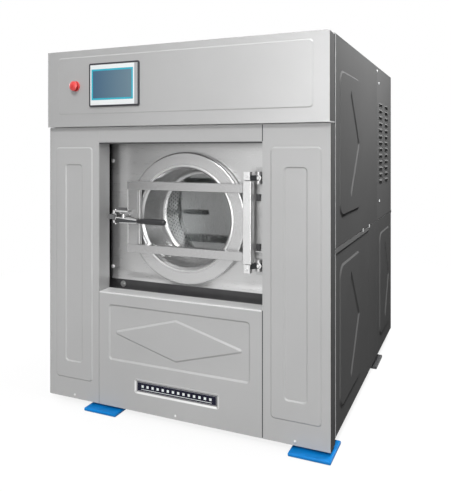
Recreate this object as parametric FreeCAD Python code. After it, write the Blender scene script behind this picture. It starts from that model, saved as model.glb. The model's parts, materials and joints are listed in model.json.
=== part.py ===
import FreeCAD, Part
import math
import os

V = FreeCAD.Vector

# Industrial washer-extractor with a suspended tub, in millimetres.
# X runs to the right, Y runs from the front to the back, Z runs up from the floor.
# Y = 0 is the front face of the two pillars while the pieces are made; every piece is
# then moved so that the origin lies at the bottom centre of the whole machine.

# Cabinet envelope
cabinet_width = 1380.0
cabinet_depth = 1558.0
cabinet_height = 1667.0
front_sheet = 3.0
side_sheet = 2.0
fold_depth = 18.0
panel_gap = 2.0
skirt_height = 27.0
side_skirt_height = 50.0
side_front_edge = 68.0

# Feet
pad_thickness = 15.0
pad_width = 174.0
front_pad_length = 172.0
front_pad_overhang = 40.0
rear_pad_length = 190.0
rear_pad_start = 962.0
pad_side_overhang = 10.0
front_left_pad_inset = 230.0

# Base and posts
rail_width = 80.0
rail_height = 100.0
crossmember_width = 100.0
post_size = 50.0

# Front panels
opening_width = 812.0
fascia_proud = 18.0
fascia_bottom = 1308.0
fascia_return = 60.0
opening_bottom = 547.0
opening_top = 1234.0
reveal_depth = 78.0
pillar_return = 64.0
pillar_return_inset = 4.0
skirt_return = 30.0

# Fields pressed into the panels: raised or sunk areas with sloping edges
fascia_press = 2.5
fascia_press_slope = 5.0
pillar_press = 4.0
pillar_press_slope = 6.0
deep_press = 5.0
deep_press_slope = 8.0
press_radius = 18.0
side_press_radius = 60.0
pillar_field_margin = 35.0
pillar_inner_width = 100.0
pillar_field_bottom = 92.0
pillar_field_top = 93.0
pillar_field_step = 80.0
fascia_field_margin = 64.0
fascia_field_bottom = 57.0
fascia_field_top = 30.0
lower_field_margin = 54.0
lower_field_bottom = 211.0
lower_field_height = 256.0
lower_lozenge_margin = 10.0
lower_lozenge_half_height = 93.0
lozenge_nose_radius = 10.0
side_field_width = 420.0
side_field_start = 72.0
side_field_bottom = 117.0
side_field_top = 132.0
lower_side_field_margin = 80.0
side_lozenge_half_width = 180.0
side_lozenge_half_height = 236.0
rear_lozenge_half_width = 140.0

# Nameplate
nameplate_width = 398.0
nameplate_height = 43.0
nameplate_centre_height = 141.0
nameplate_margin = 12.0
nameplate_thickness = 2.0
nameplate_pocket = 4.0

# Operator panel
hmi_width = 272.0
hmi_margin_top = 67.0
hmi_margin_bottom = 89.0
hmi_from_left = 385.0
hmi_proud = 7.0
hmi_border = 8.0
hmi_lip = 8.0
hmi_body_depth = 45.0
hmi_glass_thickness = 4.0
estop_from_left = 168.0
estop_collar_radius = 24.0
estop_collar_thickness = 4.5
estop_stem_radius = 9.0
estop_spigot_radius = 6.0
estop_spigot_length = 8.0
estop_stem_back = 28.0
estop_head_radius = 22.0
estop_head_thickness = 13.0
estop_rim_thickness = 4.0
estop_waist_radius = 14.0
estop_waist_depth = 3.0
estop_travel = 6.0
estop_head_clear = 2.0

# Side and rear panels
side_seam_height = 806.0
side_seam_rear = 1037.0
side_seam_lower = 779.0
louvre_rows = 13
louvre_pitch = 36.4
louvre_length = 100.0
louvre_slot = 9.0
louvre_hood = 7.0
louvre_first_height = 1023.0
louvre_front_y = 1151.0
louvre_rear_y = 1353.0

# Services at the back
water_inlet_radius = 16.6
water_inlet_length = 45.0
water_flange_radius = 27.0
water_flange_thickness = 10.0
water_inlet_x = 330.0
water_inlet_spacing = 100.0
service_drop = 124.0
drain_radius = 55.0
drain_wall = 5.0
drain_reach = 100.0
drain_depth_inside = 60.0
drain_flange_radius = 80.0
drain_flange_thickness = 8.0
drain_x = -250.0
drain_height = 210.0
gland_x = -450.0
gland_radius = 24.0
gland_nose_radius = 18.0
gland_nut_thickness = 12.0
gland_reach = 40.0

# Door axis and the depth stack of the door front
door_height = 893.0
tub_plate_front = 120.0
tub_plate_sheet = 4.0
tub_plate_half_width = 444.0
tub_plate_bottom = 576.0
tub_plate_top = 1300.0
tub_plate_depth = 45.0
tub_plate_bend = 30.0
ring_front = 80.0
ring_back = 112.0
ring_radius = 297.0
ring_edge_round = 8.0
ring_flat_inner = 242.0
dish_radius = 222.0
dish_funnel_depth = 14.0
dish_end_radius = 211.0
dish_wall = 4.0
dish_lip_round = 20.0
dish_lip_thickness = 4.0
window_radius = 190.0
glass_thickness = 8.0
glass_lap = 8.0
glass_seat = 246.0
glass_rim_width = 5.0
glass_rim_reach = 4.0
gasket_inner = 252.0
gasket_outer = 282.0
seal_clear = 0.3

# Yoke of square tube in front of the ring
yoke_bar = 38.0
yoke_bar_offset = 144.0
yoke_round = 3.0
hinge_bar_x = 319.0
hinge_bar_top = 1069.0
hinge_bar_bottom = 720.0
latch_plate_width = 52.0
latch_plate_thickness = 20.0
latch_plate_recess = 4.0

# Double-link door hinge
hinge_pin_radius = 10.0
pin_clear = 0.05
link_thickness = 22.0
link_gap = 1.0
link_width = 26.0
hinge_cap_radius = 16.0
hinge_cap_height = 14.0
fixed_pin_x = 352.0
fixed_pin_y = 98.0
lug_radius = 15.0
lug_thickness = 14.0
bracket_left = 334.0
bracket_right = 398.0
bracket_plate = 8.0
bracket_margin = 20.0
stop_rod_x = 380.0
stop_rod_radius = 9.0
stop_rod_stand = 4.0
stop_rod_bottom = 900.0
stop_rod_top = 1012.0

# Latch handle
latch_side_clear = 114.0
latch_lug_reach = 12.0
handle_pivot_y = 34.0
handle_height = 892.0
handle_pin_radius = 6.0
handle_hub_radius = 13.0
handle_hub_height = 26.0
lever_thickness = 14.0
fork_reach = 57.0
fork_half_height = 30.0
fork_slot_half_height = 13.0
fork_slot_start = 26.0
fork_slot_bevel = 4.0
handle_lug_gap = 0.5
handle_lug_thickness = 8.0
handle_lug_radius = 11.0
roller_offset = 44.0
roller_radius = 8.0
roller_pin_radius = 4.0
roller_head_radius = 7.0
roller_head_height = 4.0
neck_radius = 8.0
neck_length = 76.0
grip_length = 148.0
grip_radius = 13.5
grip_neck_radius = 10.0
grip_drop = 16.0
keeper_height = 20.0
keeper_post_width = 14.0
keeper_post_gap = 7.0
keeper_lip_reach = 22.0
keeper_lip_thickness = 11.0
keeper_clear = 0.5
keeper_foot_width = 44.0
keeper_foot_height = 64.0
keeper_foot_thickness = 8.0

# Tub and drum
mouth_radius = 250.0
mouth_wall = 6.0
mouth_flange_radius = 286.0
tub_inner_radius = 530.0
tub_wall = 6.0
tub_front = 290.0
tub_back = 955.0
tub_head_thickness = 8.0
tub_head_lip = 14.0
apron_half_width = 430.0
apron_bottom = 500.0
apron_top = 630.0
apron_thickness = 4.0
drum_inner_radius = 480.0
drum_wall = 4.0
drum_front = 330.0
drum_back = 900.0
drum_mouth_radius = 238.0
drum_lip_width = 12.0
drum_lip_depth = 14.0
drum_lip_round = 4.0
drum_sheet = 4.0
drum_back_sheet = 6.0
lifter_height = 95.0
lifter_base = 110.0
lifter_tip = 46.0
lifter_count = 3
lifter_first_angle = 30.0
spider_hub_radius = 95.0
spider_hub_depth = 34.0
spider_arm_width = 60.0
spider_arm_depth = 30.0
spider_arm_end = 470.0

# Drive
shaft_radius = 45.0
shaft_clear = 0.05
shaft_end = 1405.0
seal_bore_clear = 8.0
housing_flange_radius = 170.0
housing_flange_thickness = 20.0
housing_radius = 110.0
housing_end = 1300.0
housing_rib = 16.0
housing_rib_count = 6
pulley_start = 1320.0
pulley_width = 70.0
drum_pulley_radius = 260.0
drum_pulley_rim = 14.0
drum_pulley_web = 16.0
drum_pulley_hub = 75.0
pulley_hole_radius = 48.0
pulley_hole_circle = 165.0
pulley_hole_count = 5
motor_height = 520.0
motor_radius = 120.0
motor_start = 1000.0
motor_end = 1290.0
motor_fins = 12
motor_fin_height = 8.0
motor_fin_width = 10.0
motor_shaft_radius = 19.0
motor_shaft_inside = 50.0
motor_pulley_radius = 65.0
belt_thickness = 8.0
belt_width = 16.0
belt_count = 3
belt_clear = 0.3

# Suspension
cradle_beam = 60.0
cradle_bottom = 288.0
cradle_end_clear = 52.0
spring_to_damper = 140.0
front_spring_y = 450.0
rear_spring_y = 1150.0
spring_radius = 82.0
spring_waist_radius = 62.0
spring_plate_radius = 70.0
damper_inset = 22.0
damper_radius = 24.0
damper_bore_radius = 11.0
damper_height = 135.0
damper_floor = 12.0
damper_rod_reach = 100.0
saddle_x = 300.0
saddle_thickness = 20.0
saddle_start = 420.0
saddle_end = 1180.0
saddle_tail_height = 40.0
motor_rail_x = 110.0
motor_rail_width = 40.0
motor_rail_height = 40.0
motor_rail_start = 990.0
motor_rail_end = 1340.0

# Sizes that follow from the driving dimensions
half_width = cabinet_width / 2
opening_half = opening_width / 2
pillar_width = half_width - opening_half
panel_half = opening_half - panel_gap
fascia_top = cabinet_height - front_sheet
hmi_height = fascia_top - fascia_bottom - hmi_margin_top - hmi_margin_bottom
hmi_centre_height = fascia_bottom + hmi_margin_bottom + hmi_height / 2
hmi_centre_x = hmi_from_left - half_width
estop_x = estop_from_left - half_width
estop_height = hmi_centre_height
service_height = fascia_top - service_drop
pillar_top = fascia_bottom - panel_gap
base_bottom = pad_thickness
base_top = base_bottom + rail_height
rail_outer = half_width - fold_depth
rail_inner = rail_outer - rail_width
damper_x = rail_inner - damper_inset
spring_x = damper_x - spring_to_damper
cradle_half_length = rail_outer - cradle_end_clear
rear_sheet_front = cabinet_depth - side_sheet
tub_outer_radius = tub_inner_radius + tub_wall
tub_plate_back = tub_plate_front + tub_plate_sheet
mouth_outer = mouth_radius + mouth_wall
yoke_front = ring_front - yoke_bar
yoke_axis_y = yoke_front + yoke_bar / 2
hinge_bar_left = hinge_bar_x - yoke_bar / 2
handle_pivot_x = latch_side_clear - opening_half
yoke_left_end = handle_pivot_x + latch_lug_reach
grip_start_x = handle_pivot_x + neck_length
latch_plate_front = yoke_front + latch_plate_recess
cradle_top = cradle_bottom + cradle_beam
motor_shelf = cradle_top + motor_rail_height
rear_reach = cabinet_depth + drain_reach
fascia_face = -fascia_proud - fascia_press
estop_head_back = fascia_face - estop_collar_thickness - estop_travel - estop_head_clear
estop_head_front = estop_head_back - estop_head_thickness
front_reach = max(front_pad_overhang, -estop_head_front)
origin_y = (rear_reach - front_reach) / 2
FRONT = V(0, -1, 0)


def box(x0, x1, y0, y1, z0, z1):
    """Block between two opposite corners."""
    return Part.makeBox(x1 - x0, y1 - y0, z1 - z0, V(x0, y0, z0))


def rod_y(radius, x, z, y0, y1):
    """Round bar along Y."""
    return Part.makeCylinder(radius, y1 - y0, V(x, y0, z), V(0, 1, 0))


def rod_z(radius, x, y, z0, z1):
    """Round bar along Z."""
    return Part.makeCylinder(radius, z1 - z0, V(x, y, z0), V(0, 0, 1))


def turned_y(profile, x, z):
    """Solid of revolution about an axis along Y; profile lists (radius, y)."""
    points = [V(x + radius, y, z) for radius, y in profile]
    wire = Part.makePolygon(points + points[:1])
    return Part.Face(wire).revolve(V(x, 0, z), V(0, 1, 0), 360)


def turned_z(profile, x, y):
    """Solid of revolution about an axis along Z; profile lists (radius, z)."""
    points = [V(x + radius, y, z) for radius, z in profile]
    wire = Part.makePolygon(points + points[:1])
    return Part.Face(wire).revolve(V(x, y, 0), V(0, 0, 1), 360)


def fuse(shapes):
    """Weld shapes that touch or overlap into one solid."""
    return shapes[0].multiFuse(shapes[1:]).removeSplitter()


def group(shapes):
    """Keep separate solids together in one sub-part."""
    return Part.makeCompound(shapes)


def mirror_x(shape):
    """The same piece on the other side of the machine."""
    return shape.mirror(V(0, 0, 0), V(1, 0, 0))


def both_sides(shape):
    """A piece and its mirror image."""
    return group([shape, mirror_x(shape)])


def rounded_rectangle(width, height, radius, x, z, y):
    """Closed outline in a plane of constant Y, centred on (x, z)."""
    a = width / 2
    b = height / 2
    r = radius
    k = r * (1 - math.sqrt(0.5))

    def p(dx, dz):
        return V(x + dx, y, z + dz)

    edges = [
        Part.LineSegment(p(-a + r, -b), p(a - r, -b)).toShape(),
        Part.Arc(p(a - r, -b), p(a - k, -b + k), p(a, -b + r)).toShape(),
        Part.LineSegment(p(a, -b + r), p(a, b - r)).toShape(),
        Part.Arc(p(a, b - r), p(a - k, b - k), p(a - r, b)).toShape(),
        Part.LineSegment(p(a - r, b), p(-a + r, b)).toShape(),
        Part.Arc(p(-a + r, b), p(-a + k, b - k), p(-a, b - r)).toShape(),
        Part.LineSegment(p(-a, b - r), p(-a, -b + r)).toShape(),
        Part.Arc(p(-a, -b + r), p(-a + k, -b + k), p(-a + r, -b)).toShape(),
    ]
    return Part.Wire(edges)


def diamond(half_x, half_z, nose, x, z, y):
    """Lozenge outline with its two side corners rounded."""
    slope = math.atan2(half_z, half_x)
    along = nose / math.tan(slope)
    cx = half_x - nose / math.sin(slope)
    tx = half_x - along * math.cos(slope)
    tz = along * math.sin(slope)

    def p(dx, dz):
        return V(x + dx, y, z + dz)

    edges = [
        Part.LineSegment(p(0, half_z), p(tx, tz)).toShape(),
        Part.Arc(p(tx, tz), p(cx + nose, 0), p(tx, -tz)).toShape(),
        Part.LineSegment(p(tx, -tz), p(0, -half_z)).toShape(),
        Part.LineSegment(p(0, -half_z), p(-tx, -tz)).toShape(),
        Part.Arc(p(-tx, -tz), p(-cx - nose, 0), p(-tx, tz)).toShape(),
        Part.LineSegment(p(-tx, tz), p(0, half_z)).toShape(),
    ]
    return Part.Wire(edges)


def slab(wire, thickness):
    """Plate of an outline in a plane of constant Y, growing towards the front."""
    return Part.Face(wire).extrude(FRONT * thickness)


def pressed_rectangle(width, height, radius, x, z, y, rise, slope):
    """Rounded-rectangle field with sloping edges, rising from y to the front, or sinking if rise is negative."""
    foot = rounded_rectangle(width, height, radius, x, z, y)
    top = rounded_rectangle(width - 2 * slope, height - 2 * slope, radius - slope, x, z, y - rise)
    return Part.makeLoft([foot, top], True, True)


def pressed_lozenge(half_x, half_z, x, z, y, rise, slope):
    """Lozenge field with sloping edges, rising from y to the front."""
    foot = diamond(half_x, half_z, lozenge_nose_radius, x, z, y)
    shrink_x = slope * math.hypot(half_x, half_z) / half_z
    shrink_z = slope * math.hypot(half_x, half_z) / half_x
    top = diamond(half_x - shrink_x, half_z - shrink_z, lozenge_nose_radius - slope, x, z, y - rise)
    return Part.makeLoft([foot, top], True, True)


def sunk_field(panel, sheet, depth, width, height, radius, x, z):
    """Press a rectangular field back into a panel whose front lies at y = 0, keeping the sheet's thickness."""
    bulge = slab(rounded_rectangle(width, height, radius, x, z, depth + sheet), depth)
    hollow = pressed_rectangle(width, height, radius, x, z, 0, -depth, deep_press_slope)
    return fuse([panel, bulge]).cut(hollow)


def pressed_panel(panel, sheet, radius, field, lozenge_half_x, lozenge_half_z):
    """Sink a field (width, height, x, z) into a panel's front and raise a lozenge in its middle."""
    width, height, x, z = field
    sunk = sunk_field(panel, sheet, deep_press, width, height, radius, x, z)
    lozenge = pressed_lozenge(lozenge_half_x, lozenge_half_z, x, z, deep_press, deep_press, deep_press_slope)
    return fuse([sunk, lozenge])


def raised_panel(panel, sheet, radius, field, lozenge_half_x, lozenge_half_z):
    """Press a field (width, height, x, z) out of a panel's front, with a lozenge sunk back to the sheet."""
    width, height, x, z = field
    outside = pressed_rectangle(width, height, radius, x, z, 0, deep_press, deep_press_slope)
    inside = pressed_rectangle(width - 2 * sheet, height - 2 * sheet, radius - sheet, x, z, sheet, deep_press,
                               deep_press_slope)
    backing = slab(diamond(lozenge_half_x, lozenge_half_z, lozenge_nose_radius, x, z, sheet), deep_press)
    hollow = pressed_lozenge(lozenge_half_x, lozenge_half_z, x, z, -deep_press, -deep_press, deep_press_slope)
    return fuse([fuse([panel, outside]).cut(inside), backing]).cut(hollow)


def tray(x0, x1, y0, z0, z1, sheet, depth):
    """Sheet panel facing the front, with its four edges folded back."""
    outer = box(x0, x1, y0, y0 + depth, z0, z1)
    hollow = box(x0 + sheet, x1 - sheet, y0 + sheet, y0 + depth, z0 + sheet, z1 - sheet)
    return outer.cut(hollow)


def on_right_side(panel):
    """Turn a panel made facing the front so that it faces right, with its x along Y."""
    turned = panel.copy()
    turned.rotate(V(0, 0, 0), V(0, 0, 1), 90)
    turned.translate(V(half_width, 0, 0))
    return turned


# Feet and base

def foot_pad(x0, y0, length):
    return box(x0, x0 + pad_width, y0, y0 + length, 0, pad_thickness)


def foot_pads_front():
    right_x = half_width + pad_side_overhang - pad_width
    left_x = -half_width + front_left_pad_inset
    start = -front_pad_overhang
    return group([foot_pad(right_x, start, front_pad_length), foot_pad(left_x, start, front_pad_length)])


def foot_pads_rear():
    right_x = half_width + pad_side_overhang - pad_width
    return both_sides(foot_pad(right_x, rear_pad_start, rear_pad_length))


def base_rails():
    rail = box(rail_inner, rail_outer, skirt_return, rear_sheet_front, base_bottom, base_top)
    half = crossmember_width / 2
    first = skirt_return + half
    last = rear_sheet_front - half
    bars = [rail, mirror_x(rail)]
    for station in (first, front_spring_y, rear_spring_y, last):
        bars.append(box(-rail_inner, rail_inner, station - half, station + half, base_bottom, base_top))
    return group(bars)


def corner_posts():
    inner = rail_outer - post_size
    front = box(inner, rail_outer, fascia_return, fascia_return + post_size, base_top, fascia_top)
    rear = box(inner, rail_outer, rear_sheet_front - post_size, rear_sheet_front, base_top, fascia_top)
    return group([front, mirror_x(front), rear, mirror_x(rear)])


# Front panels

def right_pillar_panel():
    bottom = skirt_height
    face = box(opening_half, half_width, 0, front_sheet, bottom, pillar_top)
    reveal = box(opening_half, opening_half + front_sheet, 0, reveal_depth, base_top, pillar_top)
    low_return = box(opening_half, opening_half + front_sheet, 0, skirt_return, bottom, base_top)
    fold_outer = half_width - pillar_return_inset
    fold = box(fold_outer - front_sheet, fold_outer, 0, pillar_return, bottom, pillar_top)
    skirt = box(opening_half, fold_outer, 0, skirt_return, bottom, bottom + front_sheet)
    x = opening_half + pillar_width / 2
    low = bottom + pillar_field_bottom
    high = pillar_top - pillar_field_top
    z = (high + low) / 2
    width = pillar_width - 2 * pillar_field_margin
    raised = pressed_rectangle(width, high - low, press_radius, x, z, 0, pillar_press, pillar_press_slope)
    inner_height = high - low - 2 * pillar_field_step
    sunk = pressed_rectangle(pillar_inner_width, inner_height, press_radius, x, z, -pillar_press, -pillar_press,
                             pillar_press_slope)
    return fuse([face, reveal, low_return, fold, skirt, raised]).cut(sunk)


def header_panel():
    face = box(-opening_half, opening_half, 0, front_sheet, opening_top, pillar_top)
    soffit = box(-opening_half, opening_half, 0, reveal_depth, opening_top, opening_top + front_sheet)
    return fuse([face, soffit])


def lower_front_panel():
    face = box(-panel_half, panel_half, 0, front_sheet, skirt_height, opening_bottom)
    sill = box(-panel_half, panel_half, 0, reveal_depth, opening_bottom - front_sheet, opening_bottom)
    skirt = box(-panel_half, panel_half, 0, skirt_return, skirt_height, skirt_height + front_sheet)
    centre = skirt_height + lower_field_bottom + lower_field_height / 2
    half = opening_half - lower_field_margin
    field = (2 * half, lower_field_height, 0, centre)
    pressed = pressed_panel(fuse([face, sill, skirt]), front_sheet, press_radius, field,
                            half - lower_lozenge_margin, lower_lozenge_half_height)
    width = nameplate_width + 2 * nameplate_margin
    height = nameplate_height + 2 * nameplate_margin
    return sunk_field(pressed, front_sheet, nameplate_pocket, width, height, press_radius, 0,
                      nameplate_centre_height)


def nameplate():
    wire = rounded_rectangle(nameplate_width, nameplate_height, nameplate_thickness,
                             0, nameplate_centre_height, nameplate_pocket)
    return slab(wire, nameplate_thickness)


def fascia_panel():
    front = -fascia_proud
    depth = fascia_proud + fascia_return
    shell = tray(-half_width, half_width, front, fascia_bottom, fascia_top, front_sheet, depth)
    low = fascia_bottom + fascia_field_bottom
    high = fascia_top - fascia_field_top
    width = cabinet_width - 2 * fascia_field_margin
    field = pressed_rectangle(width, high - low, press_radius, 0, (high + low) / 2, front, fascia_press,
                              fascia_press_slope)
    wall = front + front_sheet - fascia_face
    window = hmi_body_outline(front + front_sheet, wall)
    stem_radius = estop_stem_radius + estop_head_clear
    stem_hole = rod_y(stem_radius, estop_x, estop_height, fascia_face, front + front_sheet)
    return fuse([shell, field]).cut(window).cut(stem_hole)


def hmi_body_outline(y, depth):
    """Part of the operator panel that passes through the fascia, ending at y."""
    half_x = hmi_width / 2 - hmi_lip
    half_z = hmi_height / 2 - hmi_lip
    return box(hmi_centre_x - half_x, hmi_centre_x + half_x, y - depth, y,
               hmi_centre_height - half_z, hmi_centre_height + half_z)


def hmi_glass_pocket():
    half_x = hmi_width / 2 - hmi_border
    half_z = hmi_height / 2 - hmi_border
    front = fascia_face - hmi_proud
    return box(hmi_centre_x - half_x, hmi_centre_x + half_x, front, front + hmi_glass_thickness,
               hmi_centre_height - half_z, hmi_centre_height + half_z)


def hmi_bezel():
    wire = rounded_rectangle(hmi_width, hmi_height, hmi_lip, hmi_centre_x, hmi_centre_height, fascia_face)
    body = hmi_body_outline(fascia_face + hmi_body_depth, hmi_body_depth)
    return fuse([slab(wire, hmi_proud), body]).cut(hmi_glass_pocket())


def hmi_screen():
    return hmi_glass_pocket()


def estop_collar():
    front = fascia_face - estop_collar_thickness
    bore = estop_stem_radius + pin_clear
    profile = [
        (bore, front),
        (estop_collar_radius - estop_head_clear, front),
        (estop_collar_radius, front + estop_head_clear),
        (estop_collar_radius, fascia_face),
        (bore, fascia_face),
    ]
    return turned_y(profile, estop_x, estop_height)


def estop_stem():
    back = estop_head_back + seal_clear
    stem = rod_y(estop_stem_radius, estop_x, estop_height, back, fascia_face + estop_stem_back)
    spigot = rod_y(estop_spigot_radius, estop_x, estop_height, back - estop_spigot_length, back)
    return fuse([stem, spigot])


def estop_head():
    """Mushroom head: domed front, cylindrical rim, narrower waist with the spigot's socket."""
    bore = estop_spigot_radius + pin_clear
    bore_end = estop_head_back - estop_spigot_length
    waist = estop_head_back - estop_waist_depth
    rim = waist - estop_rim_thickness
    rise = rim - estop_head_front
    dome_radius = (estop_head_radius ** 2 + rise ** 2) / (2 * rise)
    half_angle = math.asin(estop_head_radius / dome_radius) / 2
    crown_x = dome_radius * math.sin(half_angle)
    crown_y = estop_head_front + dome_radius * (1 - math.cos(half_angle))

    def p(radius, y):
        return V(estop_x + radius, y, estop_height)

    dome = Part.Arc(p(0, estop_head_front), p(crown_x, crown_y), p(estop_head_radius, rim)).toShape()
    rest = Part.makePolygon([
        p(estop_head_radius, rim),
        p(estop_head_radius, waist),
        p(estop_waist_radius, waist),
        p(estop_waist_radius, estop_head_back),
        p(bore, estop_head_back),
        p(bore, bore_end),
        p(0, bore_end),
        p(0, estop_head_front),
    ])
    face = Part.Face(Part.Wire([dome] + rest.Edges))
    return face.revolve(V(estop_x, 0, estop_height), V(0, 1, 0), 360)


# Side, top and rear panels

def right_upper_panel():
    low = side_seam_height
    high = fascia_top
    panel = tray(side_front_edge, side_seam_rear - panel_gap / 2, 0, low, high, side_sheet, fold_depth)
    x = side_front_edge + side_field_start + side_field_width / 2
    height = high - low - side_field_bottom - side_field_top
    z = low + side_field_bottom + height / 2
    field = (side_field_width, height, x, z)
    return on_right_side(raised_panel(panel, side_sheet, side_press_radius, field, side_lozenge_half_width,
                                      side_lozenge_half_height))


def lower_side_panel(start, end, half_x, field_width):
    """Lower side panel with its pressed rectangle and lozenge."""
    low = side_skirt_height
    high = side_seam_height - panel_gap
    panel = tray(start, end, 0, low, high, side_sheet, fold_depth)
    x = start + side_field_start + field_width / 2
    z = (low + high) / 2
    height = high - low - 2 * lower_side_field_margin
    field = (field_width, height, x, z)
    return on_right_side(raised_panel(panel, side_sheet, side_press_radius, field, half_x,
                                      side_lozenge_half_height))


def right_lower_panel():
    end = side_seam_lower - panel_gap / 2
    return lower_side_panel(side_front_edge, end, side_lozenge_half_width, side_field_width)


def rear_corner_panel():
    start = side_seam_rear + panel_gap / 2
    width = rear_sheet_front - start - 2 * side_field_start
    return lower_side_panel(start, rear_sheet_front, rear_lozenge_half_width, width)


def side_lower_strip():
    start = side_seam_lower + panel_gap / 2
    end = side_seam_rear - panel_gap / 2
    low = side_skirt_height
    return on_right_side(tray(start, end, 0, low, side_seam_height - panel_gap, side_sheet, fold_depth))


def louvre(x, z):
    """Hood of one pressed louvre, open along its lower edge."""
    half = louvre_length / 2
    points = [
        V(x - half, 0, z + louvre_slot),
        V(x - half, -louvre_hood, z),
        V(x - half, 0, z),
    ]
    return Part.Face(Part.makePolygon(points + points[:1])).extrude(V(louvre_length, 0, 0))


def louvre_panel():
    start = side_seam_rear + panel_gap / 2
    panel = tray(start, rear_sheet_front, 0, side_seam_height, fascia_top, side_sheet, fold_depth)
    hoods = []
    slots = []
    for x in (louvre_front_y, louvre_rear_y):
        for row in range(louvre_rows):
            z = louvre_first_height + row * louvre_pitch
            hoods.append(louvre(x, z))
            half = louvre_length / 2
            slots.append(box(x - half, x + half, 0, side_sheet, z - louvre_slot, z))
    return on_right_side(fuse([panel] + hoods).cut(group(slots)))


def top_panel():
    return box(-half_width, half_width, fascia_return + panel_gap, cabinet_depth, fascia_top, cabinet_height)


def rear_upper_panel():
    return box(-half_width, half_width, rear_sheet_front, cabinet_depth, side_seam_height, fascia_top)


def rear_lower_panel():
    top = side_seam_height - panel_gap
    sheet = box(-half_width, half_width, rear_sheet_front, cabinet_depth, side_skirt_height, top)
    hole = rod_y(drain_radius, drain_x, drain_height, rear_sheet_front, cabinet_depth)
    return sheet.cut(hole)


# Services at the back

def water_inlets():
    inlets = []
    for x in (water_inlet_x, water_inlet_x + water_inlet_spacing):
        flange_end = cabinet_depth + water_flange_thickness
        flange = rod_y(water_flange_radius, x, service_height, cabinet_depth, flange_end)
        pipe = rod_y(water_inlet_radius, x, service_height, flange_end, flange_end + water_inlet_length)
        inlets.append(fuse([flange, pipe]))
    return group(inlets)


def drain_outlet():
    start = rear_sheet_front - drain_depth_inside
    bore = drain_radius - drain_wall
    flange_end = cabinet_depth + drain_flange_thickness
    profile = [
        (bore, start),
        (drain_radius, start),
        (drain_radius, cabinet_depth),
        (drain_flange_radius, cabinet_depth),
        (drain_flange_radius, flange_end),
        (drain_radius, flange_end),
        (drain_radius, rear_reach),
        (bore, rear_reach),
    ]
    return turned_y(profile, drain_x, drain_height)


def cable_gland():
    nut_end = cabinet_depth + gland_nut_thickness
    nut = Part.Face(Part.Wire(Part.makePolygon(hexagon(gland_radius, gland_x, service_height, nut_end))))
    body = nut.extrude(FRONT * gland_nut_thickness)
    nose_end = cabinet_depth + gland_reach
    nose = [
        (0, nut_end),
        (gland_nose_radius, nut_end),
        (gland_nose_radius, nose_end - gland_nut_thickness),
        (gland_nose_radius / 2, nose_end),
        (0, nose_end),
    ]
    return fuse([body, turned_y(nose, gland_x, service_height)])


def hexagon(radius, x, z, y):
    """Closed six-sided outline in a plane of constant Y."""
    angles = [math.radians(60 * i) for i in range(7)]
    return [V(x + radius * math.cos(a), y, z + radius * math.sin(a)) for a in angles]


# Tub

def ring_y(inner, outer, y0, y1):
    """Flat or long ring about the drum axis."""
    return turned_y([(inner, y0), (outer, y0), (outer, y1), (inner, y1)], 0, door_height)


def tub_mouth():
    """Short neck from the front plate to the front head, with the flange that carries the plate."""
    flange_back = tub_plate_back + mouth_wall
    profile = [
        (mouth_radius, tub_plate_back),
        (mouth_flange_radius, tub_plate_back),
        (mouth_flange_radius, flange_back),
        (mouth_outer, flange_back),
        (mouth_outer, tub_front),
        (mouth_radius, tub_front),
    ]
    return turned_y(profile, 0, door_height)


def tub_front_head():
    return ring_y(mouth_radius, tub_outer_radius, tub_front, tub_front + tub_wall)


def tub_shell():
    return ring_y(tub_inner_radius, tub_outer_radius, tub_front + tub_wall, tub_back)


def rounded_pan(inset):
    """Block whose front side and bottom edges are rounded, inset from the plate's outside."""
    half = tub_plate_half_width - inset
    front = tub_plate_front + inset
    low = tub_plate_bottom + inset
    block = box(-half, half, front, tub_plate_front + tub_plate_depth, low, tub_plate_top)
    bends = []
    for edge in block.Edges:
        middle = edge.CenterOfMass
        at_front = abs(middle.y - front) < seal_clear
        at_top = abs(middle.z - tub_plate_top) < seal_clear
        if at_front and not at_top:
            bends.append(edge)
    return block.makeFillet(tub_plate_bend - inset, bends)


def tub_front_plate():
    pan = rounded_pan(0).cut(rounded_pan(tub_plate_sheet))
    mouth = rod_y(mouth_radius, 0, door_height, tub_plate_front, tub_plate_back)
    return pan.cut(mouth)


def tub_back_head():
    bore = shaft_radius + seal_bore_clear
    return ring_y(bore, tub_outer_radius + tub_head_lip, tub_back, tub_back + tub_head_thickness)


def bearing_housing():
    start = tub_back + tub_head_thickness
    bore = shaft_radius + shaft_clear
    flange_end = start + housing_flange_thickness
    profile = [
        (bore, start),
        (housing_flange_radius, start),
        (housing_flange_radius, flange_end),
        (housing_radius, flange_end),
        (housing_radius, housing_end),
        (bore, housing_end),
    ]
    body = turned_y(profile, 0, door_height)
    ribs = []
    for i in range(housing_rib_count):
        points = [
            V(housing_radius - housing_rib, flange_end - housing_rib / 2, door_height),
            V(housing_flange_radius, flange_end - housing_rib / 2, door_height),
            V(housing_flange_radius, flange_end, door_height),
            V(housing_radius - housing_rib, (flange_end + housing_end) / 2, door_height),
        ]
        rib = Part.Face(Part.makePolygon(points + points[:1])).extrude(V(0, 0, housing_rib))
        rib.translate(V(0, 0, -housing_rib / 2))
        rib.rotate(V(0, 0, door_height), V(0, 1, 0), i * 360 / housing_rib_count)
        ribs.append(rib)
    return fuse([body] + ribs)


def tub_apron():
    start = tub_plate_front + tub_plate_depth
    return box(-apron_half_width, apron_half_width, start, start + apron_thickness, apron_bottom, apron_top)


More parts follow.
